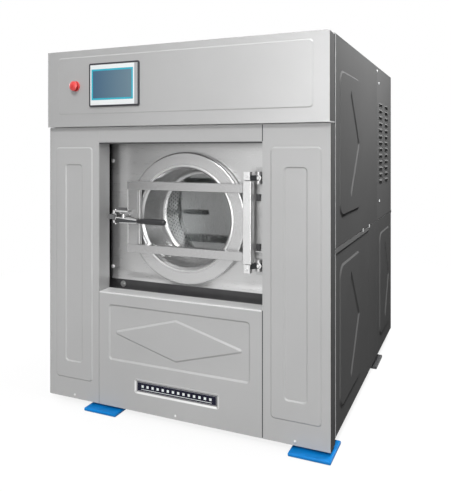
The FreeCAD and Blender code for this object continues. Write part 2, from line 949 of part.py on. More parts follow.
def tub_cradle():
    """Two cross-beams, two saddles under the shell and two motor rails, welded where they touch."""
    half = cradle_beam / 2
    pieces = []
    for station in (front_spring_y, rear_spring_y):
        pieces.append(box(-cradle_half_length, cradle_half_length, station - half, station + half,
                          cradle_bottom, cradle_top))
    shell = rod_y(tub_outer_radius, 0, door_height, saddle_start, tub_back)
    half = saddle_thickness / 2
    plate = box(saddle_x - half, saddle_x + half, saddle_start, tub_back, cradle_top, door_height)
    tall = plate.cut(shell).Solids[0]
    tail = box(saddle_x - half, saddle_x + half, tub_back, saddle_end, cradle_top,
               cradle_top + saddle_tail_height)
    saddle = fuse([tall, tail])
    half = motor_rail_width / 2
    rail = box(motor_rail_x - half, motor_rail_x + half, motor_rail_start, motor_rail_end,
               cradle_top, motor_shelf)
    pieces += [saddle, mirror_x(saddle), rail, mirror_x(rail)]
    return group(pieces)


# Door latch keeper and hinge bracket on the tub

def latch_keeper():
    roller_x = handle_pivot_x - roller_offset
    post_right = roller_x - roller_radius - keeper_post_gap
    post_left = post_right - keeper_post_width
    lip_back = handle_pivot_y - roller_radius - keeper_clear
    lip_front = lip_back - keeper_lip_thickness
    half = keeper_height / 2
    z0 = handle_height - half
    z1 = handle_height + half
    post = box(post_left, post_right, lip_front, tub_plate_front, z0, z1)
    lip = box(post_right, post_right + keeper_lip_reach, lip_front, lip_back, z0, z1)
    middle = (post_left + post_right) / 2
    foot = box(middle - keeper_foot_width / 2, middle + keeper_foot_width / 2,
               tub_plate_front - keeper_foot_thickness, tub_plate_front,
               handle_height - keeper_foot_height / 2, handle_height + keeper_foot_height / 2)
    return fuse([post, lip, foot])


def link_levels():
    """Lower and upper faces of the bottom and the top hinge link."""
    top = hinge_bar_top + link_gap
    bottom = hinge_bar_bottom - link_gap
    return ((bottom - link_thickness, bottom), (top, top + link_thickness))


def hinge_bracket():
    (low0, low1), (high0, high1) = link_levels()
    plate_front = tub_plate_front - bracket_plate
    z0 = low0 - lug_thickness - bracket_margin
    z1 = high1 + lug_thickness + bracket_margin
    plate = box(bracket_left, bracket_right, plate_front, tub_plate_front, z0, z1)
    pieces = [plate]
    for bottom, top in link_levels():
        below = (bottom - link_gap - lug_thickness, bottom - link_gap)
        above = (top + link_gap, top + link_gap + lug_thickness)
        for z_low, z_high in (below, above):
            pieces.append(rod_z(lug_radius, fixed_pin_x, fixed_pin_y, z_low, z_high))
            pieces.append(box(fixed_pin_x - lug_radius, fixed_pin_x + lug_radius, fixed_pin_y,
                              plate_front, z_low, z_high))
        pieces.append(rod_z(hinge_pin_radius, fixed_pin_x, fixed_pin_y, below[0], above[1]))
    stop = rod_z(stop_rod_radius, stop_rod_x, plate_front - stop_rod_stand, stop_rod_bottom, stop_rod_top)
    pieces.append(stop)
    return fuse(pieces)


def hinge_links():
    links = []
    dx = hinge_bar_x - fixed_pin_x
    dy = yoke_axis_y - fixed_pin_y
    length = math.hypot(dx, dy)
    angle = math.degrees(math.atan2(dy, dx))
    for z0, z1 in link_levels():
        bar = box(0, length, -link_width / 2, link_width / 2, z0, z1)
        eyes = [rod_z(link_width / 2, 0, 0, z0, z1), rod_z(link_width / 2, length, 0, z0, z1)]
        link = fuse([bar] + eyes)
        for x in (0, length):
            link = link.cut(rod_z(hinge_pin_radius + pin_clear, x, 0, z0, z1))
        link.rotate(V(0, 0, 0), V(0, 0, 1), angle)
        link.translate(V(fixed_pin_x, fixed_pin_y, 0))
        links.append(link)
    return group(links)


# Door

def rounded_bar(x0, x1, y0, y1, z0, z1):
    """Square tube seen from outside, with its four long edges rounded."""
    block = box(x0, x1, y0, y1, z0, z1)
    sizes = (x1 - x0, y1 - y0, z1 - z0)
    longest = max(sizes)
    edges = [edge for edge in block.Edges if abs(edge.Length - longest) < 0.01]
    return block.makeFillet(yoke_round, edges)


def yoke_bars():
    bars = []
    half = yoke_bar / 2
    for offset in (-yoke_bar_offset, yoke_bar_offset):
        z = door_height + offset
        bars.append(rounded_bar(yoke_left_end, hinge_bar_left, yoke_front, ring_front, z - half, z + half))
    return group(bars)


def yoke_hinge_bar():
    half = yoke_bar / 2
    right = hinge_bar_x + half
    bar = rounded_bar(hinge_bar_left, right, yoke_front, ring_front, hinge_bar_bottom, hinge_bar_top)
    pieces = [bar]
    top = hinge_bar_top + 2 * link_gap + link_thickness
    bottom = hinge_bar_bottom - 2 * link_gap - link_thickness
    pieces.append(rod_z(hinge_pin_radius, hinge_bar_x, yoke_axis_y, hinge_bar_top, top))
    pieces.append(rod_z(hinge_cap_radius, hinge_bar_x, yoke_axis_y, top, top + hinge_cap_height))
    pieces.append(rod_z(hinge_pin_radius, hinge_bar_x, yoke_axis_y, bottom, hinge_bar_bottom))
    pieces.append(rod_z(hinge_cap_radius, hinge_bar_x, yoke_axis_y, bottom - hinge_cap_height, bottom))
    return fuse(pieces)


def yoke_latch_plate():
    """Flat bar between the yoke bars, with the two lugs and the pin of the latch handle."""
    half = yoke_bar / 2
    z0 = door_height - yoke_bar_offset + half
    z1 = door_height + yoke_bar_offset - half
    back = latch_plate_front + latch_plate_thickness
    plate = box(yoke_left_end, yoke_left_end + latch_plate_width, latch_plate_front, back, z0, z1)
    pieces = [plate]
    near = handle_hub_height / 2 + handle_lug_gap
    far = near + handle_lug_thickness
    for low, high in ((-far, -near), (near, far)):
        z_low = handle_height + low
        z_high = handle_height + high
        pieces.append(rod_z(handle_lug_radius, handle_pivot_x, handle_pivot_y, z_low, z_high))
        pieces.append(box(handle_pivot_x, yoke_left_end + handle_lug_radius,
                          handle_pivot_y - handle_lug_radius, back, z_low, z_high))
    pieces.append(rod_z(handle_pin_radius, handle_pivot_x, handle_pivot_y,
                        handle_height - far, handle_height + far))
    return fuse(pieces)


def door_ring():
    """Ring with a funnel and a deep dish behind it, whose lip seats the glass."""
    flat_outer = ring_radius - ring_edge_round
    k = ring_edge_round * (1 - math.sqrt(0.5))
    funnel_end = ring_front + dish_funnel_depth
    lip_front = glass_seat - dish_lip_thickness
    lip_start = lip_front - dish_lip_round
    lip_inner = dish_end_radius - dish_lip_round
    m = dish_lip_round * (1 - math.sqrt(0.5))
    seat_radius = window_radius + glass_lap
    rim_radius = seat_radius + glass_rim_width
    dish_end = glass_seat + glass_thickness + glass_rim_reach

    def p(radius, y):
        return V(radius, y, door_height)

    outer_round = Part.Arc(p(ring_radius, ring_front + ring_edge_round), p(ring_radius - k, ring_front + k),
                           p(flat_outer, ring_front))
    lip_round = Part.Arc(p(dish_end_radius, lip_start), p(dish_end_radius - m, lip_front - m),
                         p(lip_inner, lip_front))
    front = Part.makePolygon([
        p(flat_outer, ring_front),
        p(ring_flat_inner, ring_front),
        p(dish_radius, funnel_end),
        p(dish_end_radius, lip_start),
    ])
    back = Part.makePolygon([
        p(lip_inner, lip_front),
        p(window_radius, lip_front),
        p(window_radius, glass_seat),
        p(seat_radius, glass_seat),
        p(seat_radius, dish_end),
        p(rim_radius, dish_end),
        p(dish_end_radius + dish_wall, lip_start),
        p(dish_radius + dish_wall, ring_back),
        p(ring_radius, ring_back),
        p(ring_radius, ring_front + ring_edge_round),
    ])
    wire = Part.Wire([outer_round.toShape()] + front.Edges + [lip_round.toShape()] + back.Edges)
    return Part.Face(wire).revolve(V(0, 0, door_height), V(0, 1, 0), 360)


def door_glass():
    radius = window_radius + glass_lap - seal_clear
    return rod_y(radius, 0, door_height, glass_seat, glass_seat + glass_thickness)


def door_gasket():
    end = tub_plate_front - seal_clear
    profile = [
        (gasket_inner, ring_back),
        (gasket_outer, ring_back),
        (gasket_outer - seal_clear, end),
        (gasket_inner + seal_clear, end),
    ]
    return turned_y(profile, 0, door_height)


# Latch handle

def handle_lever():
    """Forked lever: hub on the pivot, two ears round the roller, neck to the grip."""
    y0 = handle_pivot_y - lever_thickness / 2
    half_hub = handle_hub_height / 2

    def p(dx, dz):
        return V(handle_pivot_x + dx, y0, handle_height + dz)

    flare = -fork_slot_start - handle_hub_radius
    outline = [
        p(0, half_hub),
        p(-handle_hub_radius, half_hub),
        p(flare, fork_half_height),
        p(-fork_reach, fork_half_height),
        p(-fork_reach, fork_slot_half_height),
        p(-fork_slot_start - fork_slot_bevel, fork_slot_half_height),
        p(-fork_slot_start, 0),
        p(-fork_slot_start - fork_slot_bevel, -fork_slot_half_height),
        p(-fork_reach, -fork_slot_half_height),
        p(-fork_reach, -fork_half_height),
        p(flare, -fork_half_height),
        p(-handle_hub_radius, -half_hub),
        p(0, -half_hub),
    ]
    fork = Part.Face(Part.makePolygon(outline + outline[:1])).extrude(V(0, lever_thickness, 0))
    hub = rod_z(handle_hub_radius, handle_pivot_x, handle_pivot_y,
                handle_height - half_hub, handle_height + half_hub)
    start = V(handle_pivot_x, handle_pivot_y, handle_height)
    end = V(grip_start_x, handle_pivot_y, handle_height - grip_drop)
    neck = Part.makeCylinder(neck_radius, (end - start).Length, start, end - start)
    knuckle = Part.makeSphere(neck_radius, end)
    lever = fuse([fork, hub, neck, knuckle])
    pin = rod_z(handle_pin_radius + pin_clear, handle_pivot_x, handle_pivot_y,
                handle_height - half_hub, handle_height + half_hub)
    roller_pin = rod_z(roller_pin_radius + pin_clear, handle_pivot_x - roller_offset, handle_pivot_y,
                       handle_height - fork_half_height, handle_height + fork_half_height)
    socket = grip_body()
    return lever.cut(pin).cut(roller_pin).cut(socket)


def grip_body():
    x0 = grip_start_x
    x1 = grip_start_x + grip_length
    z = handle_height - grip_drop
    r = grip_radius
    n = grip_neck_radius
    nose = r * (1 - math.sqrt(0.5))

    def p(x, radius):
        return V(x, handle_pivot_y, z + radius)

    edges = [
        Part.LineSegment(p(x0, 0), p(x0, n)),
        Part.LineSegment(p(x0, n), p(x0 + grip_length / 3, r)),
        Part.LineSegment(p(x0 + grip_length / 3, r), p(x1 - r, r)),
        Part.Arc(p(x1 - r, r), p(x1 - nose, r - nose), p(x1, 0)),
        Part.LineSegment(p(x1, 0), p(x0, 0)),
    ]
    wire = Part.Wire([edge.toShape() for edge in edges])
    return Part.Face(wire).revolve(V(x0, handle_pivot_y, z), V(1, 0, 0), 360)


def handle_grip():
    return grip_body()


def latch_roller():
    """Roller that runs behind the keeper's lip, with its pin and the pin's two heads."""
    x = handle_pivot_x - roller_offset
    half = fork_slot_half_height - handle_lug_gap
    reach = fork_half_height + handle_lug_gap
    roller = rod_z(roller_radius, x, handle_pivot_y, handle_height - half, handle_height + half)
    pin = rod_z(roller_pin_radius, x, handle_pivot_y, handle_height - reach, handle_height + reach)
    low = handle_height - reach
    high = handle_height + reach
    lower_head = rod_z(roller_head_radius, x, handle_pivot_y, low - roller_head_height, low)
    upper_head = rod_z(roller_head_radius, x, handle_pivot_y, high, high + roller_head_height)
    return fuse([roller, pin, lower_head, upper_head])


# Drum

def drum_shell():
    return ring_y(drum_inner_radius, drum_inner_radius + drum_wall, drum_front, drum_back)


def drum_front_ring():
    """Front sheet of the drum with a rolled lip round its mouth."""
    front = drum_front - drum_sheet
    lip_front = front - drum_lip_depth
    lip_outer = drum_mouth_radius + drum_lip_width
    profile = [
        (drum_mouth_radius, drum_front),
        (drum_mouth_radius, lip_front + drum_lip_round),
        (drum_mouth_radius + drum_lip_round, lip_front),
        (lip_outer - drum_lip_round, lip_front),
        (lip_outer, lip_front + drum_lip_round),
        (lip_outer, front),
        (drum_inner_radius + drum_wall, front),
        (drum_inner_radius + drum_wall, drum_front),
    ]
    return turned_y(profile, 0, door_height)


def drum_back_plate():
    end = drum_back + drum_back_sheet
    disc = rod_y(drum_inner_radius + drum_wall, 0, door_height, drum_back, end)
    hub = rod_y(spider_hub_radius, 0, door_height, end, end + spider_hub_depth)
    pieces = [disc, hub]
    for i in range(lifter_count):
        half = spider_arm_width / 2
        arm = box(0, spider_arm_end, end, end + spider_arm_depth, door_height - half, door_height + half)
        arm.rotate(V(0, 0, door_height), V(0, 1, 0), -lifter_first_angle - i * 360 / lifter_count)
        pieces.append(arm)
    return fuse(pieces)


def drum_lifters():
    lifters = []
    drum = rod_y(drum_inner_radius, 0, door_height, drum_front, drum_back)
    for i in range(lifter_count):
        root = drum_inner_radius + drum_wall
        tip = drum_inner_radius - lifter_height
        points = [
            V(root, drum_front, door_height - lifter_base / 2),
            V(root, drum_front, door_height + lifter_base / 2),
            V(tip, drum_front, door_height + lifter_tip / 2),
            V(tip, drum_front, door_height - lifter_tip / 2),
        ]
        prism = Part.Face(Part.makePolygon(points + points[:1])).extrude(V(0, drum_back - drum_front, 0))
        prism.rotate(V(0, 0, door_height), V(0, 1, 0), -lifter_first_angle - i * 360 / lifter_count)
        lifters.append(prism.common(drum))
    return group(lifters)


def drum_shaft():
    start = drum_back + drum_back_sheet + spider_hub_depth
    return rod_y(shaft_radius, 0, door_height, start, shaft_end)


# Drive

def drum_pulley():
    rim_inner = drum_pulley_radius - drum_pulley_rim
    end = pulley_start + pulley_width
    middle = (pulley_start + end) / 2
    web0 = middle - drum_pulley_web / 2
    web1 = middle + drum_pulley_web / 2
    profile = [
        (shaft_radius, pulley_start),
        (drum_pulley_hub, pulley_start),
        (drum_pulley_hub, web0),
        (rim_inner, web0),
        (rim_inner, pulley_start),
        (drum_pulley_radius, pulley_start),
        (drum_pulley_radius, end),
        (rim_inner, end),
        (rim_inner, web1),
        (drum_pulley_hub, web1),
        (drum_pulley_hub, end),
        (shaft_radius, end),
    ]
    pulley = turned_y(profile, 0, door_height)
    holes = []
    for i in range(pulley_hole_count):
        angle = math.radians(90 + i * 360 / pulley_hole_count)
        x = pulley_hole_circle * math.cos(angle)
        z = door_height + pulley_hole_circle * math.sin(angle)
        holes.append(rod_y(pulley_hole_radius, x, z, web0, web1))
    return pulley.cut(group(holes))


def motor_body():
    drum = rod_y(motor_radius, 0, motor_height, motor_start, motor_end)
    pieces = [drum]
    top = motor_radius + motor_fin_height
    for i in range(motor_fins):
        fin = box(motor_radius - motor_fin_height, top, motor_start + motor_shaft_inside,
                  motor_end - motor_shaft_inside, motor_height - motor_fin_width / 2,
                  motor_height + motor_fin_width / 2)
        fin.rotate(V(0, 0, motor_height), V(0, 1, 0), i * 180 / (motor_fins - 1) - 180)
        pieces.append(fin)
    foot_half = motor_rail_x + motor_rail_width / 2
    foot = box(-foot_half, foot_half, motor_start + motor_shaft_inside, motor_end - motor_shaft_inside,
               motor_shelf, motor_height - motor_radius / 2)
    pieces.append(foot)
    bore = rod_y(motor_shaft_radius + shaft_clear, 0, motor_height, motor_end - motor_shaft_inside, motor_end)
    return fuse(pieces).cut(bore)


def motor_pulley():
    start = motor_end - motor_shaft_inside + belt_clear
    end = pulley_start + pulley_width
    shaft = rod_y(motor_shaft_radius, 0, motor_height, start, end)
    pulley = rod_y(motor_pulley_radius, 0, motor_height, pulley_start, end)
    return fuse([shaft, pulley])


def belt_outline(extra, y):
    """Closed loop round both pulleys, at a distance outside their rims."""
    big = drum_pulley_radius + extra
    small = motor_pulley_radius + extra
    distance = door_height - motor_height
    tilt = math.asin((big - small) / distance)
    bx = big * math.cos(tilt)
    bz = door_height - big * math.sin(tilt)
    sx = small * math.cos(tilt)
    sz = motor_height - small * math.sin(tilt)
    edges = [
        Part.Arc(V(bx, y, bz), V(0, y, door_height + big), V(-bx, y, bz)),
        Part.LineSegment(V(-bx, y, bz), V(-sx, y, sz)),
        Part.Arc(V(-sx, y, sz), V(0, y, motor_height - small), V(sx, y, sz)),
        Part.LineSegment(V(sx, y, sz), V(bx, y, bz)),
    ]
    return Part.Wire([edge.toShape() for edge in edges])


def drive_belts():
    belts = []
    pitch = pulley_width / belt_count
    for i in range(belt_count):
        y = pulley_start + (i + 0.5) * pitch + belt_width / 2
        outer = slab(belt_outline(belt_clear + belt_thickness, y), belt_width)
        belts.append(outer.cut(slab(belt_outline(belt_clear, y), belt_width)))
    return group(belts)


# Suspension

def at_stations(make, x):
    """One piece per suspension station, on both sides."""
    pieces = []
    for station in (front_spring_y, rear_spring_y):
        piece = make(x, station)
        pieces.append(piece)
        pieces.append(mirror_x(piece))
    return group(pieces)


def air_spring(x, y):
    top = cradle_bottom - seal_clear
    height = top - base_top
    plate = height / 12
    middle = (top + base_top) / 2
    lobe = height / 4
    profile = [
        (0, base_top),
        (spring_plate_radius, base_top),
        (spring_plate_radius, base_top + plate),
        (spring_radius, base_top + lobe - plate / 2),
        (spring_radius, base_top + lobe + plate / 2),
        (spring_waist_radius, middle),
        (spring_radius, top - lobe - plate / 2),
        (spring_radius, top - lobe + plate / 2),
        (spring_plate_radius, top - plate),
        (spring_plate_radius, top),
        (0, top),
    ]
    return turned_z(profile, x, y)


def damper_body(x, y):
    top = base_top + damper_height
    body = rod_z(damper_radius, x, y, base_top, top)
    return body.cut(rod_z(damper_bore_radius, x, y, base_top + damper_floor, top))


def damper_rod(x, y):
    return rod_z(damper_bore_radius - pin_clear, x, y, cradle_bottom - damper_rod_reach, cradle_bottom)


pieces = {
    "base_rails": base_rails(),
    "corner_posts": corner_posts(),
    "foot_pads_front": foot_pads_front(),
    "foot_pads_rear": foot_pads_rear(),
    "fascia_panel": fascia_panel(),
    "left_pillar_panel": mirror_x(right_pillar_panel()),
    "right_pillar_panel": right_pillar_panel(),
    "header_panel": header_panel(),
    "lower_front_panel": lower_front_panel(),
    "nameplate": nameplate(),
    "hmi_bezel": hmi_bezel(),
    "hmi_screen": hmi_screen(),
    "estop_collar": estop_collar(),
    "estop_stem": estop_stem(),
    "estop_head": estop_head(),
    "left_upper_panel": mirror_x(right_upper_panel()),
    "right_upper_panel": right_upper_panel(),
    "left_lower_panel": mirror_x(right_lower_panel()),
    "right_lower_panel": right_lower_panel(),
    "louvre_panels": both_sides(louvre_panel()),
    "rear_corner_panels": both_sides(rear_corner_panel()),
    "side_lower_strips": both_sides(side_lower_strip()),
    "top_panel": top_panel(),
    "rear_upper_panel": rear_upper_panel(),
    "rear_lower_panel": rear_lower_panel(),
    "water_inlets": water_inlets(),
    "drain_outlet": drain_outlet(),
    "cable_gland": cable_gland(),
    "air_springs": at_stations(air_spring, spring_x),
    "damper_bodies": at_stations(damper_body, damper_x),
    "damper_rods": at_stations(damper_rod, damper_x),
    "tub_mouth": tub_mouth(),
    "tub_front_head": tub_front_head(),
    "tub_shell": tub_shell(),
    "tub_front_plate": tub_front_plate(),
    "tub_back_head": tub_back_head(),
    "bearing_housing": bearing_housing(),
    "tub_cradle": tub_cradle(),
    "tub_apron": tub_apron(),
    "latch_keeper": latch_keeper(),
    "hinge_bracket": hinge_bracket(),
    "hinge_links": hinge_links(),
    "yoke_bars": yoke_bars(),
    "yoke_hinge_bar": yoke_hinge_bar(),
    "yoke_latch_plate": yoke_latch_plate(),
    "door_ring": door_ring(),
    "door_glass": door_glass(),
    "door_gasket": door_gasket(),
    "handle_lever": handle_lever(),
    "handle_grip": handle_grip(),
    "latch_roller": latch_roller(),
    "drum_shell": drum_shell(),
    "drum_front_ring": drum_front_ring(),
    "drum_back_plate": drum_back_plate(),
    "drum_lifters": drum_lifters(),
    "drum_shaft": drum_shaft(),
    "drum_pulley": drum_pulley(),
    "motor_body": motor_body(),
    "motor_pulley": motor_pulley(),
    "drive_belts": drive_belts(),
}

os.makedirs("parts", exist_ok=True)
for name, shape in pieces.items():
    placed = shape.copy()
    placed.translate(V(0, -origin_y, 0))
    placed.exportStep("parts/" + name + ".step")
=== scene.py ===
import bmesh
import bpy
import json
import math
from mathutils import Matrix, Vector


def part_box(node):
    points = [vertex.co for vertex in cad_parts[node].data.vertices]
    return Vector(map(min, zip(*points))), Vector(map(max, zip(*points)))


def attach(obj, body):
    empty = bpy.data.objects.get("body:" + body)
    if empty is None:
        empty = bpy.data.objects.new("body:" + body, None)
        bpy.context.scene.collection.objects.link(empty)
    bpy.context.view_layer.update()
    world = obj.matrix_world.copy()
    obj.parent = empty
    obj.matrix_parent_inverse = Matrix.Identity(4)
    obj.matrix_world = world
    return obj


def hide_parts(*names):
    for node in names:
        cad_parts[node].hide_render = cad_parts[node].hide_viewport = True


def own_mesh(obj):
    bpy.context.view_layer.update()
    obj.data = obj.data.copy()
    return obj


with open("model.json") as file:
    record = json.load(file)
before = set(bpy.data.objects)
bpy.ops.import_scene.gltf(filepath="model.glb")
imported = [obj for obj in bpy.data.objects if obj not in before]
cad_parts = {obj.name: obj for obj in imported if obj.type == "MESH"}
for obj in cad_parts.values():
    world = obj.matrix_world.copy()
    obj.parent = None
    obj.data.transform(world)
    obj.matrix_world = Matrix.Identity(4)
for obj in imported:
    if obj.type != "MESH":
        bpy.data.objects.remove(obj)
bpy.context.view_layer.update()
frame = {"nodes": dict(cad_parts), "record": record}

# Places are written in cabinet millimetres: X from the middle, Y from the front face of the pillars, with
# which the header lies flush, and Z from the floor.
MM = 0.001
PILLAR_FRONT = round(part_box("header_panel")[0].y, 4)


def spot(x, y, z):
    """A cabinet point in the shared frame, in metres."""
    return Vector((x * MM, y * MM + PILLAR_FRONT, z * MM))


# Materials


def add_node(tree, kind, **values):
    """A shader node, with its inputs or settings given by name."""
    node = tree.nodes.new(kind)
    for key, value in values.items():
        if key in node.inputs:
            node.inputs[key].default_value = value
        else:
            setattr(node, key, value)
    return node


def grain(tree, scale, stretch=(1, 1, 1), detail=3.0, rough=0.55):
    """Noise in the object's own metres, drawn out along an axis where stretch is small."""
    coords = add_node(tree, "ShaderNodeTexCoord")
    mapping = add_node(tree, "ShaderNodeMapping")
    mapping.inputs["Scale"].default_value = stretch
    noise = add_node(tree, "ShaderNodeTexNoise", Scale=scale, Detail=detail, Roughness=rough)
    tree.links.new(coords.outputs["Object"], mapping.inputs["Vector"])
    tree.links.new(mapping.outputs["Vector"], noise.inputs["Vector"])
    return noise


def shade(colour, factor):
    """A colour made darker or lighter by factor, with full alpha."""
    return tuple(min(1.0, c * factor) for c in colour) + (1.0,)


def surface(name, colour, metallic=0.0, roughness=0.45, vary=0.05, patch=4.0, fine=500.0,
            stretch=(1, 1, 1), rough_vary=0.08, relief=0.12, depth=0.00015, **sockets):
    """A finish whose colour drifts in soft patches and whose gloss and relief follow a fine grain.

    vary and rough_vary say how far the colour and the gloss drift, patch and fine are the scales of the two
    noises, and sockets are other inputs of the shader, with a low line for a blank.
    """
    mat = bpy.data.materials.new(name)
    mat.use_nodes = True
    tree = mat.node_tree
    shader = tree.nodes["Principled BSDF"]
    shader.inputs["Metallic"].default_value = metallic
    for key, value in sockets.items():
        shader.inputs[key.replace("_", " ")].default_value = value

    patches = grain(tree, patch, detail=4.0)
    ramp = add_node(tree, "ShaderNodeValToRGB")
    ramp.color_ramp.elements[0].position = 0.3
    ramp.color_ramp.elements[0].color = shade(colour, 1.0 - vary)
    ramp.color_ramp.elements[1].position = 0.7
    ramp.color_ramp.elements[1].color = shade(colour, 1.0 + vary)
    tree.links.new(patches.outputs["Fac"], ramp.inputs["Fac"])
    tree.links.new(ramp.outputs["Color"], shader.inputs["Base Color"])

    fibre = grain(tree, fine, stretch)
    gloss = add_node(tree, "ShaderNodeMapRange")
    gloss.inputs["From Min"].default_value = 0.25
    gloss.inputs["From Max"].default_value = 0.75
    gloss.inputs["To Min"].default_value = max(0.02, roughness - rough_vary)
    gloss.inputs["To Max"].default_value = min(1.0, roughness + rough_vary)
    tree.links.new(fibre.outputs["Fac"], gloss.inputs["Value"])
    tree.links.new(gloss.outputs["Result"], shader.inputs["Roughness"])

    bump = add_node(tree, "ShaderNodeBump", Strength=relief, Distance=depth)
    tree.links.new(fibre.outputs["Fac"], bump.inputs["Height"])
    tree.links.new(bump.outputs["Normal"], shader.inputs["Normal"])
    return mat


def window_glass(name):
    """Clear glass that lets lamp light through to the drum."""
    mat = bpy.data.materials.new(name)
    mat.use_nodes = True
    tree = mat.node_tree
    shader = tree.nodes["Principled BSDF"]
    shader.inputs["Base Color"].default_value = (0.80, 0.83, 0.83, 1.0)
    shader.inputs["Roughness"].default_value = 0.02
    shader.inputs["IOR"].default_value = 1.9
    shader.inputs["Transmission Weight"].default_value = 1.0
    clear = add_node(tree, "ShaderNodeBsdfTransparent")
    path = add_node(tree, "ShaderNodeLightPath")
    mix = add_node(tree, "ShaderNodeMixShader")
    tree.links.new(path.outputs["Is Shadow Ray"], mix.inputs["Fac"])
    tree.links.new(shader.outputs["BSDF"], mix.inputs[1])
    tree.links.new(clear.outputs["BSDF"], mix.inputs[2])
    tree.links.new(mix.outputs["Shader"], tree.nodes["Material Output"].inputs["Surface"])
    return mat


def display_picture(name, left, right, start, end):
    """A panel whose colour runs from left to right between two places on X, in metres."""
    mat = surface(name, left, roughness=0.16, vary=0.02, rough_vary=0.03, relief=0.0)
    tree = mat.node_tree
    shader = tree.nodes["Principled BSDF"]
    coords = add_node(tree, "ShaderNodeTexCoord")
    split = add_node(tree, "ShaderNodeSeparateXYZ")
    reach = add_node(tree, "ShaderNodeMapRange")
    reach.inputs["From Min"].default_value = start
    reach.inputs["From Max"].default_value = end
    ramp = add_node(tree, "ShaderNodeValToRGB")
    ramp.color_ramp.elements[0].color = left + (1.0,)
    ramp.color_ramp.elements[1].color = right + (1.0,)
    tree.links.new(coords.outputs["Object"], split.inputs["Vector"])
    tree.links.new(split.outputs["X"], reach.inputs["Value"])
    tree.links.new(reach.outputs["Result"], ramp.inputs["Fac"])
    tree.links.new(ramp.outputs["Color"], shader.inputs["Base Color"])
    return mat


# Stretch of a brushed grain that runs upright or level: a small number draws it out.
UPRIGHT = (9.0, 9.0, 0.25)
LEVEL = (0.25, 0.25, 9.0)


def grey(level):
    """A colour with three equal parts."""
    return (level, level, level)


# Finishes of the record's slots.
finish = {
    "front_steel": surface(
        "front_steel", grey(0.44), metallic=0.06, roughness=0.45, vary=0.03, patch=2.2, fine=60.0,
        stretch=UPRIGHT, rough_vary=0.05, relief=0.05, Specular_IOR_Level=0.2),
    # The side panels' dark grey is partly painted shade: the same steel as the front, made darker for the
    # shade that falls on the sides.
    "side_steel": surface(
        "side_steel", grey(0.125), roughness=0.5, vary=0.05, patch=2.0, fine=60.0, stretch=LEVEL,
        rough_vary=0.05, relief=0.05, Specular_IOR_Level=0.0),
    # The louvre panels' grey is partly painted shade like the side panels', and a little lighter as painted
    # light where the light meets them at another angle.
    "louvre_steel": surface(
        "louvre_steel", grey(0.14), roughness=0.5, vary=0.05, patch=2.0, fine=60.0, stretch=UPRIGHT,
        rough_vary=0.05, relief=0.05, Specular_IOR_Level=0.0),
    "frame_paint": surface(
        "frame_paint", (0.10, 0.105, 0.11), roughness=0.5, vary=0.08, patch=6.0, fine=700.0),
    "blue_pad": surface(
        "blue_pad", (0.002, 0.18, 0.52), roughness=0.42, vary=0.10, patch=18.0, fine=900.0, relief=0.25,
        Specular_IOR_Level=0.2),
    "black_rubber": surface(
        "black_rubber", (0.034, 0.034, 0.036), roughness=0.6, vary=0.15, patch=12.0, fine=1200.0,
        relief=0.3),
    "black_plate": surface(
        "black_plate", (0.006, 0.006, 0.018), roughness=0.4, vary=0.12, patch=9.0, fine=900.0,
        Specular_IOR_Level=0.15),
    "hmi_plastic": surface(
        "hmi_plastic", (0.030, 0.030, 0.036), roughness=0.42, vary=0.08, patch=20.0, fine=1500.0,
        relief=0.2),
    "hmi_glass": surface(
        "hmi_glass", (0.62, 0.65, 0.66), roughness=0.22, vary=0.03, patch=10.0, fine=900.0, relief=0.02),
    "chrome_trim": surface(
        "chrome_trim", grey(0.42), metallic=1.0, roughness=0.14, vary=0.04, patch=20.0, fine=900.0),
    "stem_plastic": surface(
        "stem_plastic", (0.020, 0.020, 0.022), roughness=0.45, vary=0.08, patch=20.0, fine=1200.0),
    "red_plastic": surface(
        "red_plastic", (0.68, 0.055, 0.055), roughness=0.30, vary=0.06, patch=25.0, fine=1200.0,
        relief=0.08),
    "zinc_steel": surface(
        "zinc_steel", (0.46, 0.47, 0.47), metallic=0.85, roughness=0.42, vary=0.10, patch=30.0,
        fine=400.0, relief=0.1),
    "brass": surface(
        "brass", (0.56, 0.40, 0.15), metallic=1.0, roughness=0.32, vary=0.08, patch=25.0, fine=700.0),
    "grey_plastic": surface(
        "grey_plastic", (0.28, 0.29, 0.30), roughness=0.5, vary=0.06, patch=15.0, fine=1200.0),
    "black_plastic": surface(
        "black_plastic", (0.018, 0.018, 0.020), roughness=0.38, vary=0.10, patch=22.0, fine=1500.0,
        relief=0.2),
    "dark_steel": surface(
        "dark_steel", (0.050, 0.052, 0.055), metallic=0.4, roughness=0.5, vary=0.10, patch=7.0,
        fine=300.0),
    "tub_steel": surface(
        "tub_steel", grey(0.50), metallic=0.85, roughness=0.30, vary=0.03, patch=5.0, fine=60.0,
        stretch=LEVEL, rough_vary=0.04, relief=0.015),
    "cast_iron": surface(
        "cast_iron", (0.085, 0.085, 0.09), metallic=0.5, roughness=0.62, vary=0.15, patch=25.0,
        fine=350.0, relief=0.4),
    "hinge_steel": surface(
        "hinge_steel", grey(0.42), metallic=0.7, roughness=0.36, vary=0.06, patch=20.0, fine=300.0,
        stretch=LEVEL),
    "yoke_steel": surface(
        "yoke_steel", grey(0.47), metallic=0.85, roughness=0.26, vary=0.03, patch=9.0, fine=900.0,
        rough_vary=0.04, relief=0.01),
    "ring_steel": surface(
        "ring_steel", grey(0.51), metallic=0.8, roughness=0.26, vary=0.03, patch=5.0, fine=900.0,
        rough_vary=0.04, relief=0.01),
    "glass": window_glass("window_glass"),
    "drum_steel": surface(
        "drum_steel", grey(0.55), metallic=0.8, roughness=0.30, vary=0.04, patch=8.0, fine=80.0,
        stretch=UPRIGHT, rough_vary=0.05, relief=0.02),
    "shaft_steel": surface(
        "shaft_steel", (0.45, 0.45, 0.46), metallic=0.9, roughness=0.3, vary=0.05, patch=25.0,
        fine=400.0),
    "motor_paint": surface(
        "motor_paint", (0.055, 0.075, 0.10), roughness=0.46, vary=0.08, patch=9.0, fine=700.0,
        relief=0.2),
}
